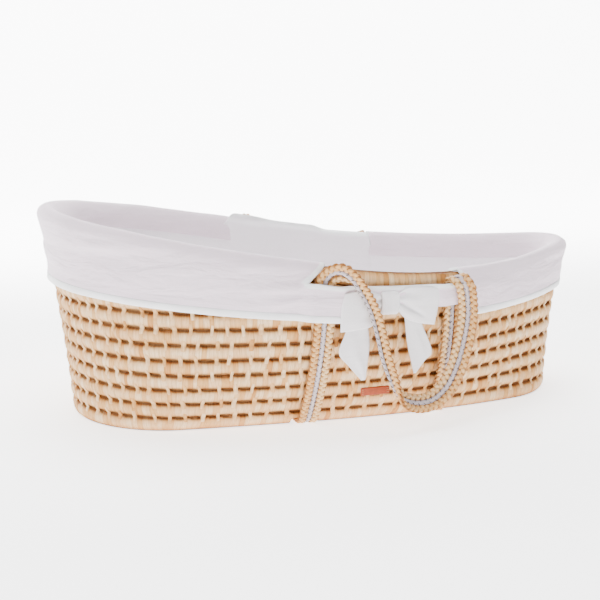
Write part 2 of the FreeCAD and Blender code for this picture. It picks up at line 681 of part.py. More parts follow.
def tag_pieces():
    """Small leather tag on a row of the wall, held by a stitch at each end."""
    row_crest = size("row_pitch") * 2.5
    x = size("tag_x")
    ahead = side_y(x + 1, row_crest)
    behind = side_y(x - 1, row_crest)
    turn = math.atan2(behind - ahead, 2)
    crest = side_y(x, row_crest) + size("clearance")
    along = Vector(math.cos(turn), math.sin(turn), 0)
    out = Vector(math.sin(turn), -math.cos(turn), 0)
    middle = Vector(x, -crest, size("tag_bottom"))
    length = size("tag_length")
    height = size("tag_height")
    depth = size("tag_depth")
    corner = middle - along * (length / 2)
    face = Part.Face(Part.makePolygon([corner, corner + along * length,
                                       corner + along * length + Vector(0, 0, height),
                                       corner + Vector(0, 0, height), corner]))
    tag = doc.addObject("Part::Feature", "tag_solid")
    tag.Shape = face.extrude(out * depth)
    node("leather_tag", tag)
    stitches = []
    for side in (-1, 1):
        for step in STITCH_STEPS:
            place = middle + along * (side * (length / 2 - size("stitch_margin")))
            place = place + out * (depth + size("stitch_radius"))
            place = place + Vector(0, 0, height * step)
            start = place - along * (size("stitch_length") / 2)
            stitches.append(Part.makeCylinder(size("stitch_radius"), size("stitch_length"), start, along))
    thread = doc.addObject("Part::Feature", "tag_thread")
    thread.Shape = Part.makeCompound(stitches)
    node("tag_stitches", thread)


tag_pieces()


# ---- check and write ------------------------------------------------------------------------

doc.recompute()
for obj in doc.Objects:
    if "Invalid" in obj.State or "Error" in obj.State:
        raise RuntimeError(f"{obj.Label} failed to compute")
os.makedirs("parts", exist_ok=True)
for piece in nodes:
    if piece.Shape.isNull() or not piece.Shape.isValid():
        raise RuntimeError(f"{piece.Label} has no valid shape")
    piece.Shape.exportStep(f"parts/{piece.Label}.step")
print(f"{len(nodes)} sub-parts written")
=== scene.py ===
import itertools
import math

import bmesh
import bpy
import numpy as np
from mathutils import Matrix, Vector


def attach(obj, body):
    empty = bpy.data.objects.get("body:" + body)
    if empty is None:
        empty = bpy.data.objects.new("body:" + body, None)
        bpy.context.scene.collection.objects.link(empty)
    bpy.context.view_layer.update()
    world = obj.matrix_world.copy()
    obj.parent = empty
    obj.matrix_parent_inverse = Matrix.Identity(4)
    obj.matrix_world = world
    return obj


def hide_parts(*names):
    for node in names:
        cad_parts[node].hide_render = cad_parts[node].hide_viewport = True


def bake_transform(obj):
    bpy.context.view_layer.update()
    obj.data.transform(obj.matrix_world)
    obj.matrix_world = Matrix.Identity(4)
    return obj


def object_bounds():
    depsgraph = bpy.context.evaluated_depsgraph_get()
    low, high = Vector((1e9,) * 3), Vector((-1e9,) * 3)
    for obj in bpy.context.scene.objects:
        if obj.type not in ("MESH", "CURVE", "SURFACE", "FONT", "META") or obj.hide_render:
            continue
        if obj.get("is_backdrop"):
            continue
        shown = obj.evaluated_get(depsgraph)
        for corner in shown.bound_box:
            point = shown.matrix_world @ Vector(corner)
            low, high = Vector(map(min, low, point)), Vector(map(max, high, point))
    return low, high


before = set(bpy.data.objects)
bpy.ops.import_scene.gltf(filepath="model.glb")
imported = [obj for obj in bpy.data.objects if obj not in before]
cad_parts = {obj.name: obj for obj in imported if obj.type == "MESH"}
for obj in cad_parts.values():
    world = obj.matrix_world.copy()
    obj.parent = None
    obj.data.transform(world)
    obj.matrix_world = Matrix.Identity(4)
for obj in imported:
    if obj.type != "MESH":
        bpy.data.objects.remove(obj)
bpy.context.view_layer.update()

MM = 0.001
FRONT, BACK = -1, 1
SIDES = ((FRONT, "front"), (BACK, "back"))

# ---- the basket's shape, the same as in the CAD source, in millimetres ------------------------
BASE_HEAD, BASE_FOOT, BASE_HALF_WIDTH = 359, 366, 150
RIM_HEAD, RIM_FOOT, RIM_HALF_WIDTH = 396.5, 396.5, 240
BASE_FOOT_RADIUS, RIM_FOOT_RADIUS, HEAD_ROUNDNESS, RIM_WIDE_SHIFT = 120, 86, 0.94, 105
HEAD_LEAN, FOOT_LEAN, FOOT_ROUND_LEAN = 1.25, 1.65, 1.5
SIDE_TOP, HEAD_TOP, FOOT_TOP = 210, 293, 222
SADDLE_SLOPE, SADDLE_TURN, SADDLE_RADIUS = 0.17, -30, 1420
HEM_HEAD, HEM_SLOPE, HEM_TURN, HEM_RADIUS = 197, 0.1, -50, 2370
ROW_PITCH, COIL_DEPTH, FULL_ROWS, ROWS = 22, 18, 8, 12
HALF_PITCH = ROW_PITCH / 2
RIM_DROP = 1.4
STRAP_X = {"head": -58.5, "foot": 133}
STRAND_PITCH = 8.5
NOTCH_WIDTH, NOTCH_TOP = 36, 10.8
SLOPE_STEP = 2.0
FIRST_LEVEL, SETTLE_TIMES = 200.0, 8
RING_POINTS = 6001


def outline_terms(level):
    """Sizes of the wall's outline at a height: end places, half width, widest place and radii."""
    level = np.maximum(level, 0)
    side = np.minimum(level / SIDE_TOP, 1)
    head_x = -(BASE_HEAD + (RIM_HEAD - BASE_HEAD) * (level / HEAD_TOP) ** HEAD_LEAN)
    foot_x = BASE_FOOT + (RIM_FOOT - BASE_FOOT) * (level / FOOT_TOP) ** FOOT_LEAN
    width = BASE_HALF_WIDTH + (RIM_HALF_WIDTH - BASE_HALF_WIDTH) * (1 - (1 - side) ** 2)
    wide_x = -RIM_WIDE_SHIFT * side**2
    head_radius = HEAD_ROUNDNESS * width
    foot_radius = BASE_FOOT_RADIUS - (BASE_FOOT_RADIUS - RIM_FOOT_RADIUS) * side**FOOT_ROUND_LEAN
    head_run = wide_x - head_x - head_radius
    foot_run = foot_x - wide_x - foot_radius
    head_side = (head_run**2 + width**2 - head_radius**2) / (2 * (width - head_radius))
    foot_side = (foot_run**2 + width**2 - foot_radius**2) / (2 * (width - foot_radius))
    return head_x, foot_x, width, wide_x, head_radius, foot_radius, head_side, foot_side


def wall(phi, level, out=0.0):
    """X and Y on the wall's outer face where its outward normal points at phi, moved out."""
    (head_x, foot_x, width, wide_x, head_radius, foot_radius, head_side,
     foot_side) = outline_terms(level)
    head_centre, foot_centre = head_x + head_radius, foot_x - foot_radius
    head_turn = np.arctan2(head_side - width, head_centre - wide_x)
    foot_turn = np.arctan2(foot_side - width, foot_centre - wide_x)
    turn = np.abs(phi)
    in_foot, in_head = turn < foot_turn, turn > head_turn
    side_radius = np.where(turn < np.pi / 2, foot_side, head_side)
    radius = np.where(in_foot, foot_radius, np.where(in_head, head_radius, side_radius))
    centre_x = np.where(in_foot, foot_centre, np.where(in_head, head_centre, wide_x))
    centre_y = np.where(in_foot | in_head, 0, width - side_radius)
    x = centre_x + (radius + out) * np.cos(turn)
    y = centre_y + (radius + out) * np.sin(turn)
    return x, np.where(phi < 0, -y, y)


def on_wall(phi, level, up, out):
    """Points straight up or down the wall from where its normal points at phi at level."""
    phi, level, up, out = np.broadcast_arrays(phi, level, up, out)
    x, y = wall(phi, level)
    above, below = wall(phi, level + SLOPE_STEP), wall(phi, level - SLOPE_STEP)
    along_x, along_y = np.cos(phi), np.sin(phi)
    slope = ((above[0] - below[0]) * along_x + (above[1] - below[1]) * along_y) / (2 * SLOPE_STEP)
    reach = out + slope * up
    return np.stack([x + along_x * reach, y + along_y * reach, level + up], -1)


def side_y(x, level, out=0.0):
    """How far the wall's outer face is from the middle plane, foot-ward of its widest place."""
    _, _, width, wide_x, _, _, _, side_radius = outline_terms(level)
    radius = side_radius + out
    return width - side_radius + np.sqrt(radius**2 - (x - wide_x) ** 2)


def saddle(x):
    """Height of the finished rim."""
    past = np.maximum(x - SADDLE_TURN, 0)
    return HEAD_TOP - SADDLE_SLOPE * (x + RIM_HEAD) + past**2 / (2 * SADDLE_RADIUS)


def hem(x):
    """Height of the cover's hem."""
    past = np.maximum(x - HEM_TURN, 0)
    return HEM_HEAD - HEM_SLOPE * (x + RIM_HEAD) + past**2 / (2 * HEM_RADIUS)


def settle(phi, height, out=0.0):
    """The height at each phi of a line given as height over X."""
    level = np.full_like(np.asarray(phi, float), FIRST_LEVEL)
    for _ in range(SETTLE_TIMES):
        level = height(wall(phi, level, out)[0])
    return level


class Ring:
    """One turn round the wall: phi and height at any share of its length."""

    def __init__(self, height):
        self.phi = np.linspace(-np.pi, np.pi, RING_POINTS)
        self.level = settle(self.phi, height)
        x, y = wall(self.phi, self.level)
        reach = reach_along(np.stack([x, y, self.level], 1))
        self.length = reach[-1]
        self.share = reach / self.length

    def at(self, share):
        share = np.mod(share, 1)
        return np.interp(share, self.share, self.phi), np.interp(share, self.share, self.level)


# ---- small helpers ------------------------------------------------------------------------------

HASH_STEPS, HASH_SEED, HASH_MIX = np.array([374761393, 668265263, 1440662683]), 974634777, 1274126177
HASH_MASK = 0xFFFFFFFF


def noise(points, scale, seed=0):
    """Smooth noise from -1 to 1 at each row of points (n x 3)."""
    place = np.asarray(points, float) / scale
    cell = np.floor(place).astype(np.int64)
    part = place - cell
    part = part * part * (3 - 2 * part)
    total = np.zeros(len(place))
    for corner in itertools.product((0, 1), repeat=3):
        mixed = ((cell + np.array(corner)) @ HASH_STEPS + seed * HASH_SEED) & HASH_MASK
        mixed = ((mixed ^ (mixed >> 13)) * HASH_MIX) & HASH_MASK
        value = ((mixed ^ (mixed >> 16)) & 0xFFFF) / 32767.5 - 1
        weight = np.prod(np.where(np.array(corner) == 1, part, 1 - part), axis=1)
        total += value * weight
    return total


def ring_noise(share, length, scale, seed):
    """Noise along a ring that meets itself; length and scale in millimetres."""
    radius = length / (2 * np.pi)
    turn = 2 * np.pi * np.asarray(share)
    apart = np.full_like(turn, seed * 37.3)
    return noise(np.stack([radius * np.cos(turn), radius * np.sin(turn), apart], 1), scale, seed)


def line_noise(reach, apart, scale, seed):
    """Noise along a line; lines with other values of apart get other noise."""
    return noise(np.stack([reach, reach * 0 + apart[0], reach * 0 + apart[1]], 1), scale, seed)


def ease(value, low, high):
    """0 before low, 1 after high, smooth between."""
    part = np.clip((value - low) / (high - low), 0, 1)
    return part * part * (3 - 2 * part)


def layers(*parts):
    """Values of one size side by side, one row for each point."""
    return np.stack(np.broadcast_arrays(*parts), -1).reshape(-1, len(parts))


def squared(turn, power):
    """Cosine and sine of a turn, raised so that a circle becomes a rounded square."""
    cosine, sine = np.cos(turn), np.sin(turn)
    return np.sign(cosine) * np.abs(cosine) ** power, np.sign(sine) * np.abs(sine) ** power


def grid_faces(rows, columns, keep=None, close_columns=False):
    """Quads of a grid of points stored row by row."""
    faces = []
    last = columns if close_columns else columns - 1
    for r in range(rows - 1):
        for c in range(last):
            if keep is None or keep[r, c]:
                d = (c + 1) % columns
                faces.append((r * columns + c, r * columns + d, (r + 1) * columns + d, (r + 1) * columns + c))
    return faces


def smooth_shaded(mesh):
    mesh.polygons.foreach_set("use_smooth", [True] * len(mesh.polygons))
    mesh.update()


def linked(name, data):
    """A new object in the scene."""
    obj = bpy.data.objects.new(name, data)
    bpy.context.scene.collection.objects.link(obj)
    return obj


class Shape:
    """Points, faces and the surface values of one piece, in millimetres until it is made."""

    def __init__(self):
        self.points, self.faces, self.values, self.grain = [], [], [], []
        self.count = 0

    def add(self, points, faces, values=(0, 0, 0), grain=(0, 0)):
        """values are tone, depth of painted groove shade and chance; grain is the place across and along the
        fibres.
        """
        points = np.asarray(points, float).reshape(-1, 3)
        n = len(points)
        self.points.append(points)
        self.faces.extend(tuple(self.count + i for i in face) for face in faces)
        self.values.append(np.broadcast_to(values, (n, 3)))
        self.grain.append(np.broadcast_to(grain, (n, 2)))
        self.count += n

    def make(self, name, material, flip=False):
        mesh = bpy.data.meshes.new(name)
        points = np.concatenate(self.points) * MM
        faces = [tuple(reversed(face)) for face in self.faces] if flip else self.faces
        mesh.from_pydata(points.tolist(), [], faces)
        tones = layers(*np.concatenate(self.values).T, 1.0)
        grain = layers(*(np.concatenate(self.grain) * MM).T, 0.0)
        for layer, kind, key, numbers in (("tones", "FLOAT_COLOR", "color", tones),
                                          ("grain", "FLOAT_VECTOR", "vector", grain)):
            data = mesh.attributes.new(layer, kind, "POINT").data
            data.foreach_set(key, numbers.astype(np.float32).ravel())
        mesh.materials.append(material)
        smooth_shaded(mesh)
        return linked(name, mesh)


def place_piece(piece, body, slot_name, *nodes):
    """Puts a piece on its body and hides the CAD nodes it stands for."""
    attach(piece, body)
    if nodes:
        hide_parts(*nodes)


def weld(obj, distance=0.00005):
    """Joins points that lie on each other."""
    work = bmesh.new()
    work.from_mesh(obj.data)
    bmesh.ops.remove_doubles(work, verts=work.verts, dist=distance)
    bmesh.ops.recalc_face_normals(work, faces=work.faces)
    work.to_mesh(obj.data)
    work.free()
    smooth_shaded(obj.data)


def keep_modified(obj):
    """Keeps the result of a piece's modifiers as its mesh."""
    mesh = bpy.data.meshes.new_from_object(obj.evaluated_get(bpy.context.evaluated_depsgraph_get()))
    obj.modifiers.clear()
    obj.data = mesh


def apply_modifier(obj, kind, **settings):
    modifier = obj.modifiers.new(kind, kind)
    for key, value in settings.items():
        setattr(modifier, key, value)
    keep_modified(obj)
    smooth_shaded(obj.data)


def reach_along(points):
    """Length of a line up to each of its points."""
    return np.concatenate(([0], np.cumsum(np.linalg.norm(np.diff(points, axis=0), axis=1))))


def spline(points, step):
    """A smooth line through points, read every step millimetres."""
    p = np.asarray(points, float)
    q = np.vstack([2 * p[0] - p[1], p, 2 * p[-1] - p[-2]])
    t = np.linspace(0, 1, 24, endpoint=False)[:, None]
    fine = []
    for a, b, c, d in zip(q, q[1:], q[2:], q[3:]):
        fine.append(0.5 * (2 * b + (c - a) * t + (2 * a - 5 * b + 4 * c - d) * t**2
                           + (3 * b - a - 3 * c + d) * t**3))
    return even(np.vstack([*fine, p[-1:]]), step)


def even(points, step):
    """The same line read at even steps."""
    reach = reach_along(points)
    count = max(2, int(round(reach[-1] / step)) + 1)
    return read_at(points, reach, np.linspace(0, reach[-1], count))


def read_at(points, reach, wanted):
    """A line's points at wanted lengths along it."""
    return np.stack([np.interp(wanted, reach, column) for column in points.T], 1)


def unit(vectors):
    return vectors / np.maximum(np.linalg.norm(vectors, axis=-1, keepdims=True), 1e-9)


# ---- materials ----------------------------------------------------------------------------------

WHITE = (1.0, 1.0, 1.0)


def grey(value):
    return (value,) * 3


class Material:
    """A new material, with short ways to add its nodes and join them."""

    def __init__(self, name):
        self.material = bpy.data.materials.new(name)
        self.material.use_nodes = True
        self.nodes, self.links = self.material.node_tree.nodes, self.material.node_tree.links

    def put(self, node, inputs):
        """Links or sets a node's inputs."""
        for key, value in inputs.items():
            if hasattr(value, "is_output"):
                self.links.new(value, node.inputs[key])
            else:
                node.inputs[key].default_value = value

    def add(self, kind, output, inputs, **settings):
        """Adds a node and gives one of its outputs."""
        node = self.nodes.new("ShaderNode" + kind)
        for key, value in settings.items():
            setattr(node, key, value)
        self.put(node, inputs)
        return node.outputs[output]

    def place(self):
        return self.add("NewGeometry", "Position", {})

    def grain(self):
        return self.add("Attribute", "Vector", {}, attribute_name="grain")

    def tone(self, channel):
        tones = self.add("Attribute", "Color", {}, attribute_name="tones")
        return self.add("SeparateColor", channel, {0: tones})

    def mapped(self, vector, scale, **inputs):
        return self.add("Mapping", 0, {"Vector": vector, "Scale": scale, **inputs})

    def noise(self, vector, scale, detail, roughness=0.5, distortion=0.0):
        return self.add("TexNoise", "Fac", {"Vector": vector, "Scale": scale, "Detail": detail,
                                            "Roughness": roughness, "Distortion": distortion})

    def math(self, operation, a, b):
        return self.add("Math", 0, {0: a, 1: b}, operation=operation)

    def mix(self, kind, factor, a, b):
        return self.add("Mix", 2, {0: factor, 6: a, 7: b}, data_type="RGBA", blend_type=kind)

    def ramp(self, value, stops):
        """Colours between stops, each a place from 0 to 1 and a colour."""
        node = self.nodes.new("ShaderNodeValToRGB")
        elements = node.color_ramp.elements
        elements[0].position, elements[1].position = stops[0][0], stops[-1][0]
        for place, _ in stops[1:-1]:
            elements.new(place)
        for element, (_, colour) in zip(elements, stops):
            element.color = (*colour, 1)
        self.put(node, {0: value})
        return node.outputs[0]

    def shaded(self, colour, strength, value, stops):
        """A colour multiplied by a ramp."""
        return self.mix("MULTIPLY", strength, colour, self.ramp(value, stops))

    def bump(self, height, strength, distance, **inputs):
        return self.add("Bump", 0, {"Height": height, "Strength": strength, "Distance": distance, **inputs})

    def finish(self, inputs):
        self.put(self.nodes["Principled BSDF"], inputs)
        return self.material


def srgb(r, g, b):
    """A screen colour from 0 to 255 as linear light."""
    return tuple(((c / 255 + 0.055) / 1.055) ** 2.4 if c > 10 else c / 255 / 12.92 for c in (r, g, b))


def palm_material(name, tones, groove_shade, fibre=0.0006, bump=0.35, roughness=0.62):
    """Dried palm leaf: strips of uneven tone with fine lines along them, and painted shade in the grooves."""
    palm = Material(name)
    grain = palm.grain()
    lines = palm.noise(palm.mapped(grain, (1 / fibre, 0.035 / fibre, 1)), 1.0, 4.0, 0.6)
    bands = palm.noise(palm.mapped(grain, (0.28 / fibre, 0.03 / fibre, 1)), 1.0, 2.0)
    stain = palm.noise(palm.place(), 38.0, 3.0, 0.6)
    colour = palm.ramp(palm.tone("Red"), list(zip((0.0, 0.35, 0.7, 1.0), tones)))
    # The last ramp is painted shade: it darkens a point by how deep it lies in a groove, the tones' green
    # channel.
    for strength, value, stops in (
            (0.75, lines, ((0.28, (0.55, 0.46, 0.36)), (0.5, (0.95, 0.94, 0.92)), (0.75, (1.1, 1.09, 1.07)))),
            (0.7, bands, ((0.3, (0.84, 0.74, 0.62)), (0.55, WHITE), (0.8, (1.05, 1.03, 1.02)))),
            (0.55, stain, ((0.35, (0.93, 0.86, 0.76)), (0.6, WHITE))),
            (1.0, palm.tone("Green"), ((0.0, WHITE), (0.22, (0.95, 0.84, 0.68)), (0.55, groove_shade[0]),
                                       (1.0, groove_shade[1])))):
        colour = palm.shaded(colour, strength, value, stops)
    shine = palm.ramp(lines, ((0.3, grey(roughness + 0.12)), (0.7, grey(roughness - 0.1))))
    fine = palm.bump(lines, bump, 0.0006)
    return palm.finish({"Base Color": colour, "Roughness": shine, "Specular IOR Level": 0.35,
                        "Normal": palm.bump(bands, bump, 0.0012, Normal=fine)})


def cloth_material(name, colour, edge=(0.95, 0.95, 0.96), weave=0.0007, bump=0.12, crease=0.25):
    """Cotton: a fine plain weave that doesn't depend on UVs, slubs, and soft rumples with painted shade in
    their hollows.
    """
    cloth = Material(name)
    place = cloth.place()
    threads = []
    for scale, apart in (((1, 1, 0.12), 0), ((0.12, 0.12, 1), 5)):
        vector = cloth.mapped(place, tuple(s / weave for s in scale), Location=(apart, apart, apart))
        threads.append(cloth.noise(vector, 1.0, 2.0, 0.55))
    woven = cloth.math("MULTIPLY", cloth.math("ADD", *threads), 0.5)
    rumples = cloth.noise(cloth.mapped(place, (14, 14, 52)), 1.0, 4.0, 0.55, 0.4)
    # Painted shade: the noise that bumps the rumples also darkens their hollows.
    toned = cloth.shaded((*colour, 1), 0.8, rumples, ((0.3, (0.955, 0.95, 0.955)), (0.7, grey(1.01))))
    toned = cloth.mix("MIX", cloth.tone("Red"), toned, (*edge, 1))
    toned = cloth.shaded(toned, 0.6, woven, ((0.35, grey(0.93)), (0.65, grey(1.02))))
    fine = cloth.bump(woven, bump, 0.0004)
    return cloth.finish({"Base Color": toned, "Roughness": 0.88, "Specular IOR Level": 0.2,
                         "Sheen Weight": 0.25, "Sheen Roughness": 0.5,
                         "Normal": cloth.bump(rumples, crease, 0.007, Normal=fine)})


def leather_material(name, colour):
    """Smooth leather with a pebbled grain and rubbed, darker patches."""
    leather = Material(name)
    place = leather.place()
    pebbles = leather.add("TexVoronoi", "Distance", {"Vector": place, "Scale": 900.0})
    dark, light = tuple(0.72 * c for c in colour), tuple(min(1, 1.15 * c) for c in colour)
    shade = leather.ramp(leather.noise(place, 120.0, 4.0, 0.6), ((0.3, dark), (0.7, light)))
    return leather.finish({"Base Color": shade, "Roughness": 0.48,
                           "Normal": leather.bump(pebbles, 0.3, 0.0003)})


def thread_material(name, colour, twist=0.0011):
    """Twisted cotton thread or cord: slanted plies and a soft fuzz."""
    thread = Material(name)
    vector = thread.mapped(thread.grain(), (1 / twist, 1 / twist, 1), Rotation=(0, 0, 0.7))
    plies = thread.add("TexWave", "Color", {"Vector": vector, "Scale": 0.5, "Distortion": 0.6})
    fuzz = thread.noise(thread.place(), 1400.0, 2.0)
    toned = thread.shaded((*colour, 1), 0.8, plies, ((0.1, (0.72, 0.71, 0.72)), (0.6, WHITE)))
    toned = thread.shaded(toned, 0.7, fuzz, ((0.35, grey(0.9)), (0.6, grey(1.03))))
    return thread.finish({"Base Color": toned, "Roughness": 0.85, "Sheen Weight": 0.2,
                          "Normal": thread.bump(plies, 0.5, 0.0005)})


COIL_TONES = (srgb(243, 214, 173), srgb(234, 196, 149), srgb(223, 175, 112), srgb(203, 146, 80))
BRAID_TONES = (srgb(243, 214, 170), srgb(235, 198, 146), srgb(220, 172, 112), srgb(194, 138, 76))
# Painted shade for the grooves: the colours that a groove's middle depth and its deepest part are multiplied
# by.
COIL_GROOVE_SHADE = ((0.56, 0.4, 0.24), (0.29, 0.19, 0.1))
BRAID_GROOVE_SHADE = ((0.6, 0.42, 0.24), (0.3, 0.18, 0.09))
palm_coil = palm_material("palm_coil", COIL_TONES, COIL_GROOVE_SHADE)
palm_braid = palm_material("palm_braid", BRAID_TONES, BRAID_GROOVE_SHADE, fibre=0.0005, bump=0.5)
cover_cotton = cloth_material("cover_cotton", srgb(240, 223, 233), crease=0.7)
# Painted light: the lining is the cover's cotton made paler, standing in for the light inside the basket.
lit_lining_cotton = cloth_material("lit_lining_cotton", srgb(253, 247, 252), crease=0.35)
hem_cotton = cloth_material("hem_cotton", srgb(252, 252, 254), weave=0.0006, crease=0.12)
bow_cotton = cloth_material("bow_cotton", srgb(240, 233, 236))
mattress_cotton = cloth_material("mattress_cotton", srgb(247, 246, 243), weave=0.0012, bump=0.3)
cord_cotton = thread_material("cord_cotton", srgb(208, 196, 200))
dark_thread = thread_material("dark_thread", srgb(96, 82, 80), twist=0.0006)
tag_leather = leather_material("tag_leather", srgb(166, 66, 14))
tag_thread = thread_material("tag_thread", srgb(222, 150, 96), twist=0.0005)


# ---- coiled palm rows ---------------------------------------------------------------------------

LASHING_PITCH, LASHING_WIDTH, LASHING_REACH, STRIP_WIDTH = 23.0, 5.2, 8.5, 7.6
BULGE, RIM_BULGE = 4.2, 2.6
SEAM_GAP, LEAST_GAP, OPEN_END_GAP = 1.5, 0.12, 0.3
STRIP_PARTS = np.array([0.02, 0.3, 0.65, 0.98])
STRIP_STEP = 0.75
# A coil's section: how round its edges are at the face and behind it, and how deep the painted groove shade
# reaches.
EDGE_TURNS, EDGE_RADIUS, EDGE_PER_GAP, FACE_STEPS = (90, 58, 28, 0), 2.6, 0.7, (-0.33, 0, 0.33)
BACK_ROUND, BACK_SHY, FACE_DEPTH, GROOVE_SHADE_DEPTH, BACK_SHADE = 3.5, 0.05, 3.5, 5.0, 0.3
# One of the section's points on the face, where a row's height is read.
FACE_COLUMN = 8
# Unevenness of a coil as height, wavelength and seed step: its face, its strips, their lean and tone.
ROLLING, STRIP_RISE = (0.55, 46, 900), (0.25, 9, 950)
STRIP_LEAN, TONE_DRIFT = (0.16, 30, 800), (0.1, 120, 990)
EVEN_LEAN = 0.05
# Spans that the random draws come from, and tones as their mean and spread.
JITTER, LASHING_LEAN, LASHING_WIDTHS, LASHING_LENGTHS = 0.16, 0.22, (0.75, 1.3), (0.8, 1.1)
STRIP_LENGTHS, STRIP_RAISES = (0.6, 1.4), (0.4, 1.3)
COIL_TONE, LASHING_TONE, MAT_TONE = (0.42, 0.28), (0.42, 0.24), (0.4, 0.25)
# Steps of the grain's place between neighbouring strips, rows and lashing strips, so that none match.
STRIP_GRAIN, ROW_GRAIN, LASHING_GRAIN, MAT_GRAIN = 7.9, 31.7, 97.0, 17
# A part row ends where less than TRIM_LEAST of it would be left under the rim.
TRIM_LEAST, TRIM_THIN = 2.5, 0.4
NOTCH_RAMP, FLOOR_CLEARANCE = 2.5, 0.05
# A lashing strip: places up and across it, how far its edges sink in, how much it narrows, how far it
# stands out from the coils and tucks in at its ends, and the painted groove shade at its edge and on it.
LASHING_UP = np.array([-1.0, -0.8, -0.5, -0.2, 0.0, 0.2, 0.5, 0.8, 1.0])
LASHING_SIDE = np.array([-0.5, -0.46, 0.0, 0.46, 0.5])
LASHING_SINK = np.array([-1.3, 0.0, 0.22, 0.0, -1.3])
LASHING_TAPER, LASHING_STAND, LASHING_TUCK, LASHING_GROOVE_SHADE = 0.12, 0.75, 1.5, (0.35, 0.04)


class Seam:
    """The line between two rows: where the lashing strips cross it and how far it gapes."""

    def __init__(self, length, seed):
        chance = np.random.default_rng(seed)
        count = int(round(length / LASHING_PITCH))
        self.seed, self.length = seed, length
        jitter = chance.uniform(-JITTER, JITTER, count)
        self.centres = np.sort(((np.arange(count) + chance.uniform(0, 1) + jitter) / count) % 1)
        self.widths = LASHING_WIDTH * chance.uniform(*LASHING_WIDTHS, count)
        self.leans = chance.uniform(-LASHING_LEAN, LASHING_LEAN, count)

    def away(self, share):
        """Distance in millimetres to the nearest lashing strip's edge, less than 0 inside it."""
        centres = np.concatenate([self.centres[-1:] - 1, self.centres, self.centres[:1] + 1])
        widths = np.concatenate([self.widths[-1:], self.widths, self.widths[:1]])
        share = np.mod(share, 1)
        right = np.clip(np.searchsorted(centres, share), 1, len(centres) - 1)
        to_right = (centres[right] - share) * self.length - widths[right] / 2
        to_left = (share - centres[right - 1]) * self.length - widths[right - 1] / 2
        return np.minimum(to_left, to_right)

    def gap(self, share):
        """Half of the gap between the rows' faces."""
        uneven = 1 + 0.3 * ring_noise(share, self.length, 14, self.seed + 400)
        return LEAST_GAP + SEAM_GAP * uneven * ease(self.away(share), -1.0, 2.6)

    def wander(self, share):
        """How far the seam strays up or down from its level line."""
        return 0.7 * ring_noise(share, self.length, 70, self.seed + 700)


def strip_stations(length, width, seed):
    """Shares of a ring at which its wrapped strips have points, with each strip's own number."""
    chance = np.random.default_rng(seed)
    count = max(3, int(round(length / width)))
    edges = np.cumsum(chance.uniform(*STRIP_LENGTHS, count))
    edges = np.concatenate([[0], edges / edges[-1]])
    shares = (edges[:-1, None] + np.diff(edges)[:, None] * STRIP_PARTS).ravel()
    numbers = np.repeat(np.arange(count), len(STRIP_PARTS))
    parts = np.tile(STRIP_PARTS, count)
    return np.append(shares, 1 + shares[0]), np.append(numbers, 0), np.append(parts, parts[0]), count


def section_side(gap, sign):
    """The upper or lower half of a coil's section: its rounded edge, and its corners behind."""
    radius = EDGE_RADIUS + EDGE_PER_GAP * gap
    face = []
    for turn in np.radians(EDGE_TURNS):
        face.append((-radius + radius * math.cos(turn),
                     sign * (HALF_PITCH - gap - radius + radius * math.sin(turn))))
    high = sign * (HALF_PITCH - BACK_SHY)
    behind = [(-radius - 2.2, high), (-COIL_DEPTH + BACK_ROUND, high),
              (-COIL_DEPTH, sign * (HALF_PITCH - BACK_ROUND))]
    return face, behind


def coil_section(low_gap, high_gap, bulge):
    """Corners of a coil's section for each station: out from the face, and up. n x k x 2."""
    low_face, low_behind = section_side(low_gap, -1)
    high_face, high_behind = section_side(high_gap, 1)
    middle = [(0.0, step * HALF_PITCH) for step in FACE_STEPS]
    corners = [low_behind[1], low_behind[0], *low_face, *middle, *reversed(high_face), *high_behind,
               (-COIL_DEPTH, 0.0), low_behind[2]]
    zero = 0 * low_gap
    section = np.stack([np.stack([zero + out, zero + up], -1) for out, up in corners], 1)
    face = np.clip(1 - (section[..., 1] / HALF_PITCH) ** 2, 0, 1)
    section[..., 0] += np.where(section[..., 0] > -4, bulge * (face - 1), 0)
    # Painted shade: darker the further a point lies behind the face, with a fixed painted shade on the coil's
    # back.
    groove_shade = np.clip(-section[..., 0] / GROOVE_SHADE_DEPTH, 0, 1)
    groove_shade[:, -3:] = BACK_SHADE
    return section, groove_shade


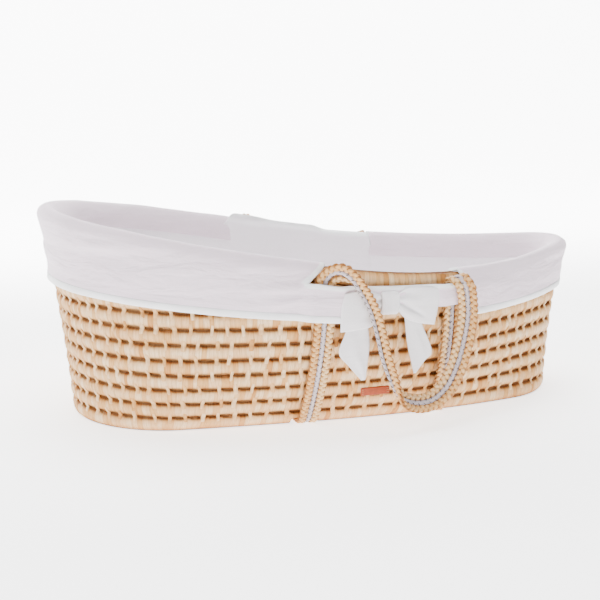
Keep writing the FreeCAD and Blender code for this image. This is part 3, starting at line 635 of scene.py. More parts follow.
def coil_row(shape, ring, low_seam, high_seam, seed, bulge=BULGE, ceiling=None, floor_flat=False):
    """Adds one wrapped coil that lies between two seams."""
    share, number, part, count = strip_stations(ring.length, STRIP_WIDTH, seed)

    def uneven(kind):
        height, scale, step = kind
        return height * ring_noise(share, ring.length, scale, seed + step)

    chance = np.random.default_rng(seed + 50)
    tone_of = np.clip(chance.normal(*COIL_TONE, count), 0, 1)
    luck_of = chance.uniform(0, 1, count)
    raise_of = STRIP_STEP * chance.uniform(*STRIP_RAISES, count)
    gaps = [seam.gap(share) if seam else np.full(len(share), OPEN_END_GAP) for seam in (low_seam, high_seam)]
    low_shift, high_shift = [seam.wander(share) if seam else 0 * share for seam in (low_seam, high_seam)]
    section, groove_shade = coil_section(*gaps, bulge)
    out, up = section[..., 0], section[..., 1]
    height_part = (up / HALF_PITCH + 1) / 2
    up = up + low_shift[:, None] * (1 - height_part) + high_shift[:, None] * height_part
    step = raise_of[number] * (part - 0.5) + uneven(STRIP_RISE)
    out = out + np.where(out > -FACE_DEPTH, (uneven(ROLLING) + step)[:, None], 0)
    lean = uneven(STRIP_LEAN) + EVEN_LEAN
    phi, level = ring.at(share[:, None] + lean[:, None] * up / ring.length)
    keep = None
    if ceiling is not None:
        top = settle(phi[:, FACE_COLUMN], ceiling)
        low_z = level[:, FACE_COLUMN] - HALF_PITCH
        keep_station = top - low_z > TRIM_LEAST
        highest = np.maximum(top, low_z + TRIM_THIN) - level[:, FACE_COLUMN]
        up = np.minimum(up, highest[:, None])
        keep = np.repeat((keep_station[:-1] & keep_station[1:])[:, None], section.shape[1], 1)
    points = on_wall(phi, level, up, out)
    if floor_flat:
        near = np.min([np.abs(points[..., 0] - x) for x in STRAP_X.values()], axis=0)
        notch = 1 - ease(near, NOTCH_WIDTH / 2, NOTCH_WIDTH / 2 + NOTCH_RAMP)
        lowest = NOTCH_TOP * notch + FLOOR_CLEARANCE
        points[..., 2] = np.maximum(points[..., 2], lowest)
    tone = np.clip(tone_of[number] + uneven(TONE_DRIFT), 0, 1)
    reach = np.cumsum(np.linalg.norm(np.diff(section, axis=1, prepend=section[:, :1]), axis=-1), axis=1)
    across = np.unwrap(share * 2 * np.pi)[:, None] / (2 * np.pi) * ring.length + seed * ROW_GRAIN
    shape.add(points, grid_faces(*points.shape[:2], keep, close_columns=True),
              layers(tone[:, None], groove_shade, luck_of[number][:, None]),
              layers(across, reach + number[:, None] * STRIP_GRAIN))


def lashings(shape, seam, ring, seed, ceiling=None):
    """Adds the strips that bind two rows together across their seam."""
    chance = np.random.default_rng(seed + 60)
    up, side = LASHING_UP, LASHING_SIDE
    for i, centre in enumerate(seam.centres):
        long_up, long_down = LASHING_REACH * chance.uniform(*LASHING_LENGTHS, 2)
        rise = np.where(up > 0, up * long_up, up * long_down)
        width = seam.widths[i] * (1 - LASHING_TAPER * np.abs(up))
        tone = float(np.clip(chance.normal(*LASHING_TONE), 0, 1))
        luck = chance.uniform()
        across = side[None, :] * width[:, None]
        share = centre + (seam.leans[i] * rise[:, None] + across) / ring.length
        phi, level = ring.at(share)
        rise_here = seam.wander(np.array([centre]))[0] + rise[:, None] + 0 * share
        if ceiling is not None and level[4, 2] + long_up > settle(phi[4, 2:3], ceiling)[0]:
            continue
        face = -BULGE * np.clip(1 - (np.abs(rise) + 0.8) / HALF_PITCH, 0, 1) ** 2
        lift = face + LASHING_STAND - LASHING_TUCK * np.abs(up) ** 4
        points = on_wall(phi, level, rise_here, lift[:, None] + LASHING_SINK[None, :])
        # Painted shade: strong on the strip's sunk edges, faint on the rest of it.
        depth = np.where(LASHING_SINK < -1, *LASHING_GROOVE_SHADE)
        shape.add(points, grid_faces(len(up), len(side)), layers(tone, depth[None], luck + 0 * share),
                  layers(across + LASHING_GRAIN * i + seed, rise[:, None]))


def flat_level(level):
    return lambda x: level + 0 * x


def rim_level(x):
    return saddle(x) - RIM_DROP - HALF_PITCH + 0.15


def under_rim(x):
    return saddle(x) - RIM_DROP - ROW_PITCH + 0.3


row_rings = [Ring(flat_level(ROW_PITCH * (k + 0.5))) for k in range(ROWS)]
seam_rings = [Ring(flat_level(ROW_PITCH * (k + 1))) for k in range(ROWS)]
seams = [Seam(seam_rings[k].length, 20 + k) for k in range(ROWS)]
for k in range(ROWS):
    row = Shape()
    coil_row(row, row_rings[k], seams[k - 1] if k else None, seams[k], 100 + k,
             ceiling=under_rim if k >= FULL_ROWS else None, floor_flat=k == 0)
    if k < ROWS - 1:
        lashings(row, seams[k], seam_rings[k], 200 + k, ceiling=under_rim if k >= FULL_ROWS - 1 else None)
    place_piece(row.make(f"wall_coil_{k + 1:02d}", palm_coil, flip=True), "basket", "palm_coil",
                f"wall_row_{k + 1:02d}")

rim = Shape()
coil_row(rim, Ring(rim_level), None, None, 140, bulge=RIM_BULGE)
place_piece(rim.make("rim_coil_wrapped", palm_coil, flip=True), "basket", "palm_coil", "rim_coil")


# ---- straps and handles -------------------------------------------------------------------------

STRAND_SIDES = {"outer_braid": -1, "cotton_cord": 0, "inner_braid": 1}
STRAP_RUN, LEG_FOOT = 4.7, 15
LEG_TOP_DROP = {"head": 20, "foot": 12}
# Heights down a leg, and how far out from the wall the strands' middles lie there.
LEG_OUT = ((LEG_FOOT, 110, 228), (10.4, 6.6, 5.3))
BRAID_WIDTH, BRAID_DEPTH, BRAID_TURN = 11.2, 7.6, 24.0
PALM_WIDTH, PALM_DEPTH, CORD_WIDTH, CORD_DEPTH = 5.8, 3.6, 6.8, 4.4
PATH_STEP = 1.5
HINGE_LEVEL, BLEND_START, BLEND_END = 220, 9, 20
PLANE_REACH = {end: float(side_y(STRAP_X[end], 203.0)) for end in STRAP_X}
PLANE_X = (STRAP_X["head"] + STRAP_X["foot"]) / 2
PLANE_Y = (PLANE_REACH["head"] + PLANE_REACH["foot"]) / 2
PLANE_TURN = math.atan2(PLANE_REACH["head"] - PLANE_REACH["foot"], STRAP_X["foot"] - STRAP_X["head"])
# A stitch over the cord: places along it, across it and above its middle, and the thread's radius.
STITCH_PITCH = int(round(5.2 / PATH_STEP))
STITCH_ALONG = np.array([-1.2, -0.6, 0.0, 0.6, 1.2])[:, None]
STITCH_ACROSS = np.array([1.3, 2.3, 3.2, 4.0, 4.6])[:, None]
STITCH_RISE = np.array([1.6, 2.5, 2.35, 1.9, 1.0])[:, None]
THREAD_RADIUS, THREAD_CORNERS = 0.55, 6

# The hanging loop's cord: along, height, out, and the angles at which the two braids lie from it
# (0 towards the inside of the loop, 90 straight out).
LOOP = ((-67.4, 216.6, 27, 55, -30), (-53.4, 194.6, 27, 50, -30), (-44.4, 178.6, 27, 48, -30),
        (-37.4, 159.6, 27, 48, -30), (-30.4, 134.6, 27, 46, -30), (-23.4, 108.6, 26.5, 45, -32),
        (-12.4, 82.6, 25.5, 55, -35), (-1.4, 62, 24.8, 88, -40), (10, 50, 24, 125, -45),
        (24, 43.5, 24, 145, -45), (40, 41, 24, 150, -45), (56, 42.5, 24, 150, -45),
        (70, 49.5, 24, 145, -42), (84, 63, 24, 138, -40), (98, 90, 24, 130, -38),
        (107, 121, 24, 126, -36), (112, 152, 24.5, 124, -34), (110.5, 176, 25.5, 124, -30),
        (106, 198, 26.5, 128, -26))
ARCHES = {
    "head": {"outer_braid": ((-104.5, 224, 7.5), (-100.3, 229.3, 9), (-93.5, 235, 16), (-85, 237.7, 24.5),
                             (-75.4, 233, 31)),
             "cotton_cord": ((-96.5, 222, 7.5), (-91.5, 228, 12), (-85.5, 230, 17.5), (-79, 227.5, 22.5),
                             (-73, 222, 26)),
             "inner_braid": ((-86.8, 217, 7.5), (-82.5, 221, 11), (-77, 221.5, 16), (-70.5, 217, 20.5))},
    "foot": {"outer_braid": ((107.7, 203.5, 28), (107.5, 208.5, 22), (107.2, 209.5, 14.5), (107, 206, 8.5)),
             "cotton_cord": ((103, 203, 24.5), (100.5, 208, 19), (99, 209, 13), (98, 205, 8)),
             "inner_braid": ((95, 201, 20.5), (91.3, 205.5, 16.5), (89.6, 206, 12), (88.6, 203, 8))}}


def plane_point(along, level, out, side):
    """A point of a handle's plane; out is away from the basket."""
    x = PLANE_X + along * np.cos(PLANE_TURN) + out * np.sin(PLANE_TURN)
    y = PLANE_Y - along * np.sin(PLANE_TURN) + out * np.cos(PLANE_TURN)
    return np.stack(np.broadcast_arrays(x, side * y, level), -1)


def leg_line(x, side, drop):
    """One strand from the top of a leg down the wall and round under the base to its middle."""
    levels = np.linspace(saddle(x) - drop, LEG_FOOT, 40)
    reach = side_y(x, levels) + np.interp(levels, *LEG_OUT)
    lean = math.atan2(reach[-2] - reach[-1], levels[-2] - levels[-1])
    radius = (LEG_FOOT - STRAP_RUN) / (1 - math.sin(lean))
    centre = reach[-1] - radius * math.cos(lean)
    turns = np.linspace(lean, math.pi / 2, 12)[1:]
    out = np.concatenate([reach, centre + radius * np.cos(turns), [0.0]])
    up = np.concatenate([levels, STRAP_RUN + radius - radius * np.sin(turns), [STRAP_RUN]])
    return np.stack([np.full_like(out, x), side * out, up], -1)


def relax(points, times):
    """Smooths a line and keeps its ends."""
    points = points.copy()
    for _ in range(times):
        points[1:-1] = 0.25 * points[:-2] + 0.5 * points[1:-1] + 0.25 * points[2:]
    return points


def strand_lines(side):
    """The three strands' centre lines from under the base, round the loop and back under it."""
    fine = spline(LOOP, 4.0)
    heading = unit(np.gradient(fine[:, :2], axis=0))
    inward = np.stack([-heading[:, 1], heading[:, 0]], -1)
    lines = {}
    for strand, sign in STRAND_SIDES.items():
        u, z, out = fine[:, 0], fine[:, 1], fine[:, 2]
        if sign:
            turn = np.radians(fine[:, 3] if sign < 0 else fine[:, 4])
            u = u + STRAND_PITCH * np.cos(turn) * inward[:, 0]
            z = z + STRAND_PITCH * np.cos(turn) * inward[:, 1]
            out = out + STRAND_PITCH * np.sin(turn)
        hanging = plane_point(u, z, out, side)
        head_leg = leg_line(STRAP_X["head"] + sign * STRAND_PITCH, side, LEG_TOP_DROP["head"])[::-1]
        foot_leg = leg_line(STRAP_X["foot"] - sign * STRAND_PITCH, side, LEG_TOP_DROP["foot"])
        head_arch, foot_arch = [plane_point(*np.array(arch[strand]).T, side) for arch in ARCHES.values()]
        parts = [head_leg, head_arch, hanging, foot_arch, foot_leg]
        line = even(relax(even(np.vstack(parts), PATH_STEP), 10), PATH_STEP)
        marks = [head_leg[-1], hanging[0], hanging[-1], foot_leg[0]]
        cuts = [int(np.argmin(np.linalg.norm(line - mark, axis=1))) for mark in marks]
        lines[strand] = (line, [0, *cuts, len(line) - 1])
    return lines


def nearest(line, other):
    """For each point of a line, the other line's nearest point."""
    gaps = np.linalg.norm(line[:, None] - other[None], axis=-1)
    return other[np.argmin(gaps, axis=1)]


def strand_frame(line, apart):
    """Tangent, width direction and face direction along a strand."""
    tangent = unit(np.gradient(line, axis=0))
    across = relax(unit(apart), 30)
    across = unit(across - tangent * np.sum(across * tangent, axis=1, keepdims=True))
    return tangent, across, np.cross(tangent, across)


def around(centres, ones, twos, one, two):
    """Points round every centre: one and two are the places along the two directions."""
    return centres[:, None] + ones[:, None] * one[None, :, None] + twos[:, None] * two[None, :, None]


def tube(shape, centres, sides, normals, width, depth, corners, values=None, grain_start=0.0, power=1.0):
    """A closed section swept along centres, with its ends left open."""
    turn = np.linspace(0, 2 * np.pi, corners, endpoint=False)
    flat_c, flat_s = squared(turn, power)
    points = around(centres, sides, normals, flat_c * width / 2, flat_s * depth / 2)
    girth = turn / (2 * np.pi) * (width + depth) * 1.4
    grain = layers(girth[None] + 11.3 * grain_start % 7, (reach_along(centres) + grain_start)[:, None])
    shape.add(points, grid_faces(len(centres), corners, close_columns=True),
              values(points) if values else (0, 0, 0), grain)


def plait(shape, line, directions, low, high, tone, seed):
    """A flat plait of three palm strands between two stations of its line."""
    _, across, face = directions
    part = slice(low, high + 1)
    reach = np.arange(len(line)) * PATH_STEP
    for i in range(3):
        phase = 2 * np.pi * (reach / BRAID_TURN + i / 3)
        loose = 0.25 * line_noise(reach, (60 * i, seed * 9.1), 12, seed)
        swing = (BRAID_WIDTH - PALM_WIDTH) / 2 * np.sin(phase) + loose
        rise = (BRAID_DEPTH - PALM_DEPTH) / 2 * np.sin(2 * phase)
        centre = line + across * swing[:, None] + face * rise[:, None]
        way = unit(np.gradient(centre, axis=0))
        side = unit(across - way * np.sum(across * way, axis=1, keepdims=True))
        normal = np.cross(way, side)
        shades = 0.5 + 0.5 * line_noise(reach, (91 * i, seed), 40, seed + 5)

        def values(points, shades=shades, i=i):
            outward = np.abs(np.sum((points - line[part][:, None]) * face[part][:, None], axis=-1))
            # Painted shade between the strands: the nearer a point lies to the plait's middle, the darker it
            # is.
            depth = np.clip(0.9 - outward / (BRAID_DEPTH / 2), 0, 1)
            tones = np.clip(tone + 0.3 * (shades[part][:, None] - 0.5) + 0.07 * (i - 1), 0, 1)
            return layers(tones, depth, 0.5)

        tube(shape, centre[part], side[part], normal[part], PALM_WIDTH, PALM_DEPTH, 10, values,
             low * PATH_STEP + 200 * i, power=0.85)


def cord(shape, line, directions, low, high):
    """The flat cotton cord sewn between the two plaits."""
    _, across, face = directions
    part = slice(low, high + 1)
    tube(shape, line[part], across[part], face[part], CORD_WIDTH, CORD_DEPTH, 12,
         grain_start=low * PATH_STEP, power=0.8)


def cord_stitches(shape, line, directions, low, high):
    """Short dark stitches that sew the cord to the plaits, left and right in turn, on both faces."""
    tangent, across, face = directions
    ring = np.linspace(0, 2 * np.pi, THREAD_CORNERS, endpoint=False)
    grain = layers(ring[None] * THREAD_RADIUS, STITCH_ALONG)
    for i in range(low + (STITCH_PITCH - low % STITCH_PITCH), high - 2, STITCH_PITCH):
        hand = 1 if (i // STITCH_PITCH) % 2 else -1
        for side in (1, -1):
            centres = (line[i] + tangent[i] * STITCH_ALONG + across[i] * STITCH_ACROSS * hand
                       + face[i] * STITCH_RISE * side)
            way = unit(np.gradient(centres, axis=0))
            one = unit(np.cross(way, face[i] + 0 * way))
            points = around(centres, one, np.cross(way, one), THREAD_RADIUS * np.cos(ring),
                            THREAD_RADIUS * np.sin(ring))
            shape.add(points, grid_faces(len(centres), len(ring), close_columns=True), grain=grain)


STRAP_LOOKS = {"outer_braid": (palm_braid, "palm_braid", 0.55),
               "inner_braid": (palm_braid, "palm_braid", 0.18),
               "cotton_cord": (cord_cotton, "cotton_cord", 0),
               "cord_stitches": (dark_thread, "tag_thread", 0)}
strap_shapes = {}


def strap_shape(name, strand, bodies, nodes, side):
    """The shape that a stretch is added to; the front and the back share those under the base."""
    return strap_shapes.setdefault(name, (Shape(), strand, bodies, nodes, side))[0]


for side, side_name in SIDES:
    lines = strand_lines(side)
    handle = f"{side_name}_handle"
    for strand, sign in STRAND_SIDES.items():
        line, cuts = lines[strand]
        outer, middle, inner = [nearest(line, lines[other][0]) for other in STRAND_SIDES]
        apart = {-1: line - middle, 0: outer - inner, 1: middle - line}[sign]
        directions = strand_frame(line, apart)
        stretches = (
            (f"head_strap_{strand}_worked", ("basket",), (f"head_strap_{strand}",)),
            (f"{side_name}_head_bend_{strand}", ("basket", handle), ()),
            (f"{handle}_{strand}_worked", (handle,), (f"{handle}_{strand}",)),
            (f"{side_name}_foot_bend_{strand}", ("basket", handle), ()),
            (f"foot_strap_{strand}_worked", ("basket",), (f"foot_strap_{strand}",)))
        for (name, bodies, nodes), low, high in zip(stretches, cuts[:-1], cuts[1:]):
            shape = strap_shape(name, strand, bodies, nodes, side)
            if sign:
                plait(shape, line, directions, low, high, STRAP_LOOKS[strand][2], 31 + sign + side)
            else:
                cord(shape, line, directions, low, high)
                sewn = strap_shape(name.replace(strand, "cord_stitches"), "cord_stitches", bodies, (), side)
                cord_stitches(sewn, line, directions, low, high)

for name, (shape, strand, bodies, nodes, side) in strap_shapes.items():
    material, slot_name, _ = STRAP_LOOKS[strand]
    piece = shape.make(name, material, flip=side == FRONT)
    if len(bodies) == 1:
        place_piece(piece, bodies[0], slot_name, *nodes)
    else:
        start, end = [plane_point(0, HINGE_LEVEL, out, side) * MM for out in (BLEND_START, BLEND_END)]
        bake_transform(piece)


# ---- cotton cover and lining --------------------------------------------------------------------

CLOTH = 1.2
FOLD_START = 15
# The cloth's way over the rim: out from the wall's face, and height above the finished rim.
FOLD = np.array(((4.3, -15), (4.3, -8), (1.6, -1.5), (-4, 2.2), (-11, 2.8), (-18.0, 0), (-22.4, -7),
                 (-24.6, -16), (-25.0, -34)), float)
FOLD_REACH = reach_along(FOLD)
FOLD_END = FOLD_REACH[-1]
# Where the cloth lies over a strap: the strap's middle and half width, and how the cloth rises to it.
COVERED_STRAPS = ((-58.3, 18.3), (133.0, 18.5))
STRAP_RISE, STRAP_RAMP = 8.2, 17
OPENING_START, OPENING_END = -83.3, 150.0
# Heights of the opening's lower edge and of the band's lower edge along X.
OPENING_LOW = ((-83.3, -70.5, -43, 33.3, 108.8, 144, 150), (216, 215, 210, 204, 200, 199, 199))
BAND_LOW = ((-33, 0, 35, 90, 146.5, 151), (160.7, 166, 169, 169, 170, 151.5))
# How far along the cloth's way over the rim the opening's upper edge is: seven places on its head
# side, then its foot side. Between BARE_START and BARE_END the rim is bare.
FLAP_EDGE = ((-83.3, -75, -66, -58, -52, -49, -46.5, 141, 143, 146, 150),
             (-8.7, -2.3, 6.2, 16, 30, 50, FOLD_END, FOLD_END, 45, 20, 2.5))
FLAP_HEAD_PLACES = 7
BARE_START, BARE_END = -47, 141.5
BINDING_WIDTH, BINDING_RISE = 6.5, 0.9
COVER_SPACING, COVER_LOW_ROWS, COVER_HIGH_ROWS, COVER_CROWDING = 3.0, 20, 28, 1.15
TOP_LEVEL = 294
# Along the cloth's way: where it stops hanging, where its outside ends, how long its inner end is; how
# much a strap stretches the creases flat, and how far the cloth stays clear of the coils.
HANGS, OUTSIDE_END, FOLD_INSIDE, STRAP_STRETCH, COVER_CLEARANCE = (4, 22), 8, 22, 0.6, 2.1
# Waves of the cloth: height in millimetres, wavelengths along the basket and up it, and seed.
CREASES = ((3.0, 230, 24, 3), (2.0, 90, 10, 9), (0.3, 9, 9, 5))
PUFFS = ((0.9, 60, 200, 14), (0.3, 16, 16, 6))
FOLD_WAVES = ((0.8, 45, 400, 21),)
LINING_SLACK = ((1.3, 150, 60, 31), (0.7, 45, 22, 33))
# A hem binding's section: height above the skirt's lower edge, and how proud of the skirt it is.
HEM_SECTION = ((8.4, 0.2), (7.6, 1.0), (4.0, 1.15), (0.4, 1.05), (-0.9, 0.3), (-0.9, -0.9), (1.0, -1.2))
HEM_MIDDLE = 3
LINING_LOW, LINING_BELOW_RIM, LINING_OUT, LINING_ROWS = 19.6, 26, -23.3, 56
# The lining at the openings: how far it stands up in front and at the back, and leans in and out.
LINING_RISE = {FRONT: 20, BACK: 28}
LINING_LEAN = {FRONT: 4, BACK: 12.5}
LINING_HIDE = -2.9
LINING_PEAK, LINING_HEAD_PEAK = 6, 2.5
# Where along X the lining's edge rises and falls: at both openings, at the back, and its two peaks.
OPENED, CLOSED, BACK_OPENED = (-84, -72), (150, 158), (-108, -66)
HEAD_PEAK_END, PEAK_END = (-40, 0), (58, 84)
FLOOR_MIDDLE, FLOOR_LEVEL, FLOOR_OUT, FLOOR_RINGS = 10, 18.8, -23.6, 24
EDGE_TONE = 0.3


def fold_at(reach):
    """Out and height for a place along the cloth's way; less than 0 is straight below the fold."""
    out = np.interp(reach, FOLD_REACH, FOLD[:, 0])
    rise = np.interp(reach, FOLD_REACH, FOLD[:, 1]) + np.minimum(reach, 0)
    return out, rise


def opening_low(x):
    return np.interp(x, *OPENING_LOW)


def skirt_low(x):
    """Height of the cover's lower edge: the hem of both skirts, and the tie band between them."""
    between = (x > BAND_LOW[0][0]) & (x < BAND_LOW[0][-1])
    return np.where(between, np.interp(x, *BAND_LOW), hem(x))


def reach_of(height, x):
    return height - (saddle(x) - FOLD_START)


def split_reach(x):
    """Where the upper and the lower part of the cover meet, as a place along its way."""
    inside = np.clip(x, OPENING_START, OPENING_END)
    return reach_of(opening_low(inside), inside)


def strap_swell(x):
    """1 where the cloth lies over a strap, 0 away from it."""
    return sum(1 - ease(np.abs(x - middle), half, half + STRAP_RAMP) for middle, half in COVERED_STRAPS)


def waves(points, kinds):
    """The sum of several waves of cloth, longer along the basket than up it."""
    return sum(height * noise(points / np.array([along, along, up]), 1.0, seed)
               for height, along, up, seed in kinds)


def opening_line():
    """The opening's edge as places along X and along the cloth's way, a millimetre apart."""
    low_x = np.arange(OPENING_START, OPENING_END, 1.0)
    flap = np.array(FLAP_EDGE).T
    head, foot = flap[:FLAP_HEAD_PLACES], flap[FLAP_HEAD_PLACES:]
    return np.vstack([np.stack([low_x, split_reach(low_x)], 1), even(head, 1.0), even(foot, 1.0)])


OPENING_LINE = opening_line()


def binding(x, reach):
    """1 on the binding sewn round the opening, 0 away from it."""
    here = np.stack([x, reach], 1)
    gap = np.linalg.norm(here[:, None] - OPENING_LINE[None], axis=-1).min(axis=1)
    return 1 - ease(gap, BINDING_WIDTH - 1.2, BINDING_WIDTH)


def cover_points(phi, reach_at, proud=0.0):
    """Points of the cover at a place along its way given for every X."""
    level = np.full(len(phi), FIRST_LEVEL)
    for _ in range(14):
        x, y = wall(phi, np.minimum(level, TOP_LEVEL))
        reach = reach_at(x)
        out, rise = fold_at(reach)
        level = saddle(x) + rise
    place = np.stack([x, y, level], 1)
    hanging = 1 - ease(reach, *HANGS)
    near_top = 1 - ease(level - opening_low(x), -1, 8)
    inside = ease(reach, FOLD_END - FOLD_INSIDE, FOLD_END)
    swell = STRAP_RISE * strap_swell(x) * near_top * hanging
    stretched = 1 - STRAP_STRETCH * np.clip(strap_swell(x), 0, 1)
    out = out + swell + waves(place, CREASES) * hanging * stretched
    out = out + waves(place, PUFFS) * (1 - hanging) * (1 - inside)
    clear = np.where(reach < OUTSIDE_END, np.maximum(out, COVER_CLEARANCE + swell), out)
    out = clear + proud + BINDING_RISE * binding(x, reach)
    x, y = wall(phi, np.minimum(level, TOP_LEVEL), out)
    level = level + waves(place, FOLD_WAVES) * ease(reach, 6, 16) * (1 - inside)
    return np.stack([x, y, level], 1), place, reach


def ring_phi(spacing):
    ring = Ring(saddle)
    count = int(ring.length / spacing)
    return ring.at(np.arange(count) / count)[0]


def cloth_piece(shape, name, material, slot_name, nodes, thickness=CLOTH):
    """Welds and thickens one cloth piece, puts it on the basket and hides the CAD nodes it stands for."""
    piece = shape.make(name, material)
    weld(piece, 0.00002)
    apply_modifier(piece, "SOLIDIFY", thickness=thickness * MM, offset=0.0, use_even_offset=True)
    place_piece(piece, "basket", slot_name, *nodes)


def grid_shape(grid, values, keep=None, close_columns=True):
    """A shape of one grid of points."""
    grid = np.array(grid)
    shape = Shape()
    shape.add(grid, grid_faces(*grid.shape[:2], keep, close_columns), values)
    return shape


def cover_sheet():
    """Both skirts with their fold over the rim, and the two tie bands, with the openings left out."""
    phi = ring_phi(COVER_SPACING)

    def below(x, share):
        low = reach_of(skirt_low(x), x)
        return low + (split_reach(x) - low) * share

    def above(x, share):
        inside = (x > OPENING_START) & (x < OPENING_END)
        start = np.where(inside, np.interp(x, *FLAP_EDGE), split_reach(x))
        return start + (FOLD_END - start) * share

    rows = [(below, row / COVER_LOW_ROWS) for row in range(COVER_LOW_ROWS + 1)]
    rows += [(above, (row / COVER_HIGH_ROWS) ** COVER_CROWDING) for row in range(COVER_HIGH_ROWS + 1)]
    grid, edge, drops = [], [], []
    for way, share in rows:
        points, place, reach = cover_points(phi, lambda x, way=way, share=share: way(x, share))
        grid.append(points)
        edge.append(binding(place[:, 0], reach))
        drops.append((place[:, 0] > BARE_START) & (place[:, 0] < BARE_END) & (way is above))
    grid, drops = np.array(grid), np.array(drops)
    middle = 0.5 * (grid[COVER_LOW_ROWS, :, 0] + grid[COVER_LOW_ROWS + 1, :, 0])
    keep = np.ones(grid.shape[:2], bool)
    keep[COVER_LOW_ROWS] = (middle <= OPENING_START) | (middle >= OPENING_END)
    keep &= ~(drops & np.roll(drops, -1, axis=1))
    return grid_shape(grid, layers(np.array(edge), 0, 0), keep)


def hem_binding(low_x, high_x):
    """A folded strip sewn along a skirt's lower edge."""
    phi = ring_phi(COVER_SPACING)
    grid = np.array([cover_points(phi, lambda x, rise=rise: reach_of(skirt_low(x) + rise, x), proud)[0]
                     for rise, proud in HEM_SECTION])
    inside = (grid[HEM_MIDDLE, :, 0] > low_x) & (grid[HEM_MIDDLE, :, 0] < high_x)
    return grid_shape(grid, (1, 0, 0), np.repeat((inside & np.roll(inside, -1))[None], len(grid), 0))


def lining_top(x, y, opened):
    """Height of the lining's upper edge, which stands up where an opening shows it."""
    peak = (LINING_PEAK + LINING_HEAD_PEAK * (1 - ease(x, *HEAD_PEAK_END))) * (1 - ease(x, *PEAK_END))
    back = (LINING_RISE[BACK] + peak) * ease(x, *BACK_OPENED) * (1 - ease(x, *CLOSED))
    return saddle(x) - LINING_BELOW_RIM + np.where(y > 0, back, LINING_RISE[FRONT] * opened)


def lining_sheet():
    """The lining of the wall, from the floor to the fold; its top edge shows at the openings."""
    phi = ring_phi(4.0)
    grid, edge = [], []
    for share in np.arange(LINING_ROWS + 1) / LINING_ROWS:
        level = np.full(len(phi), 150.0)
        for _ in range(10):
            x, y = wall(phi, np.minimum(level, TOP_LEVEL))
            opened = ease(x, *OPENED) * (1 - ease(x, *CLOSED))
            level = LINING_LOW + (lining_top(x, y, opened) - LINING_LOW) * share
        slack = waves(np.stack([x, y, level], 1), LINING_SLACK)
        slack = slack * ease(share, 0, 0.1) * (1 - ease(share, 0.9, 1))
        above_rim = level - saddle(x)
        lean = np.where(y > 0, LINING_LEAN[BACK] * ease(above_rim, -3, 3),
                        LINING_LEAN[FRONT] * ease(share, 0.93, 1.0))
        lift = LINING_HIDE * ease(above_rim, -48, -36) * opened + lean * opened
        x, y = wall(phi, np.minimum(level, TOP_LEVEL), LINING_OUT + slack + lift)
        grid.append(np.stack([x, y, level], 1))
        edge.append(np.where(opened > 0.5, ease(share, 0.965, 0.985), 0))
    return grid_shape(grid, layers(np.array(edge), 0, 0))


def floor_sheet():
    """The lining's flat bottom, a little uneven over the coiled mat."""
    edge_x, edge_y = wall(ring_phi(7.0), 19.0, FLOOR_OUT)
    grid = []
    for share in np.linspace(1, 0.02, FLOOR_RINGS):
        x, y = FLOOR_MIDDLE + (edge_x - FLOOR_MIDDLE) * share, edge_y * share
        uneven = 0.35 * noise(np.stack([x, y, 0 * x], 1), 30, 41)
        grid.append(np.stack([x, y, FLOOR_LEVEL + uneven], 1))
    return grid_shape(grid, (EDGE_TONE, 0, 0))


cloth_piece(cover_sheet(), "cover_skirts", cover_cotton, "cover_cotton",
            ("head_skirt", "foot_skirt", "front_tie_band", "back_tie_band"))
for end, low_x, high_x, length in (("head", -420, -33, 1.02), ("foot", 150, 420, 0.86)):
    cloth_piece(hem_binding(low_x, high_x), f"{end}_hem_binding", hem_cotton, "cotton_trim",
                (f"{end}_hem",), thickness=0.7)
cloth_piece(lining_sheet(), "lining", lit_lining_cotton, "cover_cotton", ("liner_wall",))
cloth_piece(floor_sheet(), "lining_floor", lit_lining_cotton, "cover_cotton",
            ("liner_floor",), thickness=1.0)


# ---- bows ---------------------------------------------------------------------------------------

BOW_WALL = 12.6
# Edges of each piece seen from the front, along and height: from the knot outwards or downwards.
HEAD_LOOP = (((-15, 175), (-32, 154), (-54, 150), (-80, 149)),
             ((-15, 191), (-34, 199), (-54, 200.5), (-79, 200)))
FOOT_LOOP = (((2, 175), (20, 157), (42, 149.5), (64, 145)), ((2, 192), (20, 200), (44, 199), (74, 194)))
HEAD_TAIL = (((-70, 155), (-73, 146), (-82, 121), (-66, 101), (-47, 80)),
             ((-40, 155), (-38, 146), (-36, 126), (-38.5, 102), (-41, 80.5)))
FOOT_TAIL = (((18, 164), (19, 152), (23, 122), (29, 100), (35, 80)),
             ((40, 164), (45, 148), (62, 109), (51, 96), (38, 80)))
# Where a loop turns back: half of its turn in shares of the ribbon, and how far out its straight part is.
TURN_HALF, TURN_FROM, STRAIGHT_FROM = 0.055, 0.97, 0.89
# How far a loop stands out: its front and back layers, their least, its puff, and the belly at its end.
LOOP_STAND, LOOP_BACK, LOOP_LEAST, LOOP_PUFF, LOOP_BELLY = 1.6, 0.3, 0.6, 3.4, 1.6
# Gathers at the knot, coarse and fine, as height and number; and the crease's place, slant and width.
GATHERS, FINE_GATHERS = (1.5, 5), (0.5, 9)
CREASE_AT, CREASE_SLANT, CREASE_WIDTH = 0.02, 0.42, 0.06
# A tail's diagonal fold: height, half width, where it starts across the ribbon and how far it goes.
TAIL_FOLD, TAIL_FOLD_WIDTH, TAIL_FOLD_AT, TAIL_FOLD_RUN = 1.9, 0.2, 0.35, 0.35
TAIL_WAVE, TAIL_FALL, TAIL_STAND = 0.9, 2.2, 0.5
KNOT_START, KNOT_END, KNOT_LEVEL, KNOT_HALF, KNOT_DEPTH, KNOT_OUT = -21, 6, 182.5, 15.2, 3.3, 3.6
KNOT_FOLD, KNOT_FOLDS, KNOT_PINCH, KNOT_TILT, KNOT_SQUARE = 0.45, 17, 0.28, 1.2, 0.7
RIBBON_TONE = (0.5, 0, 0)


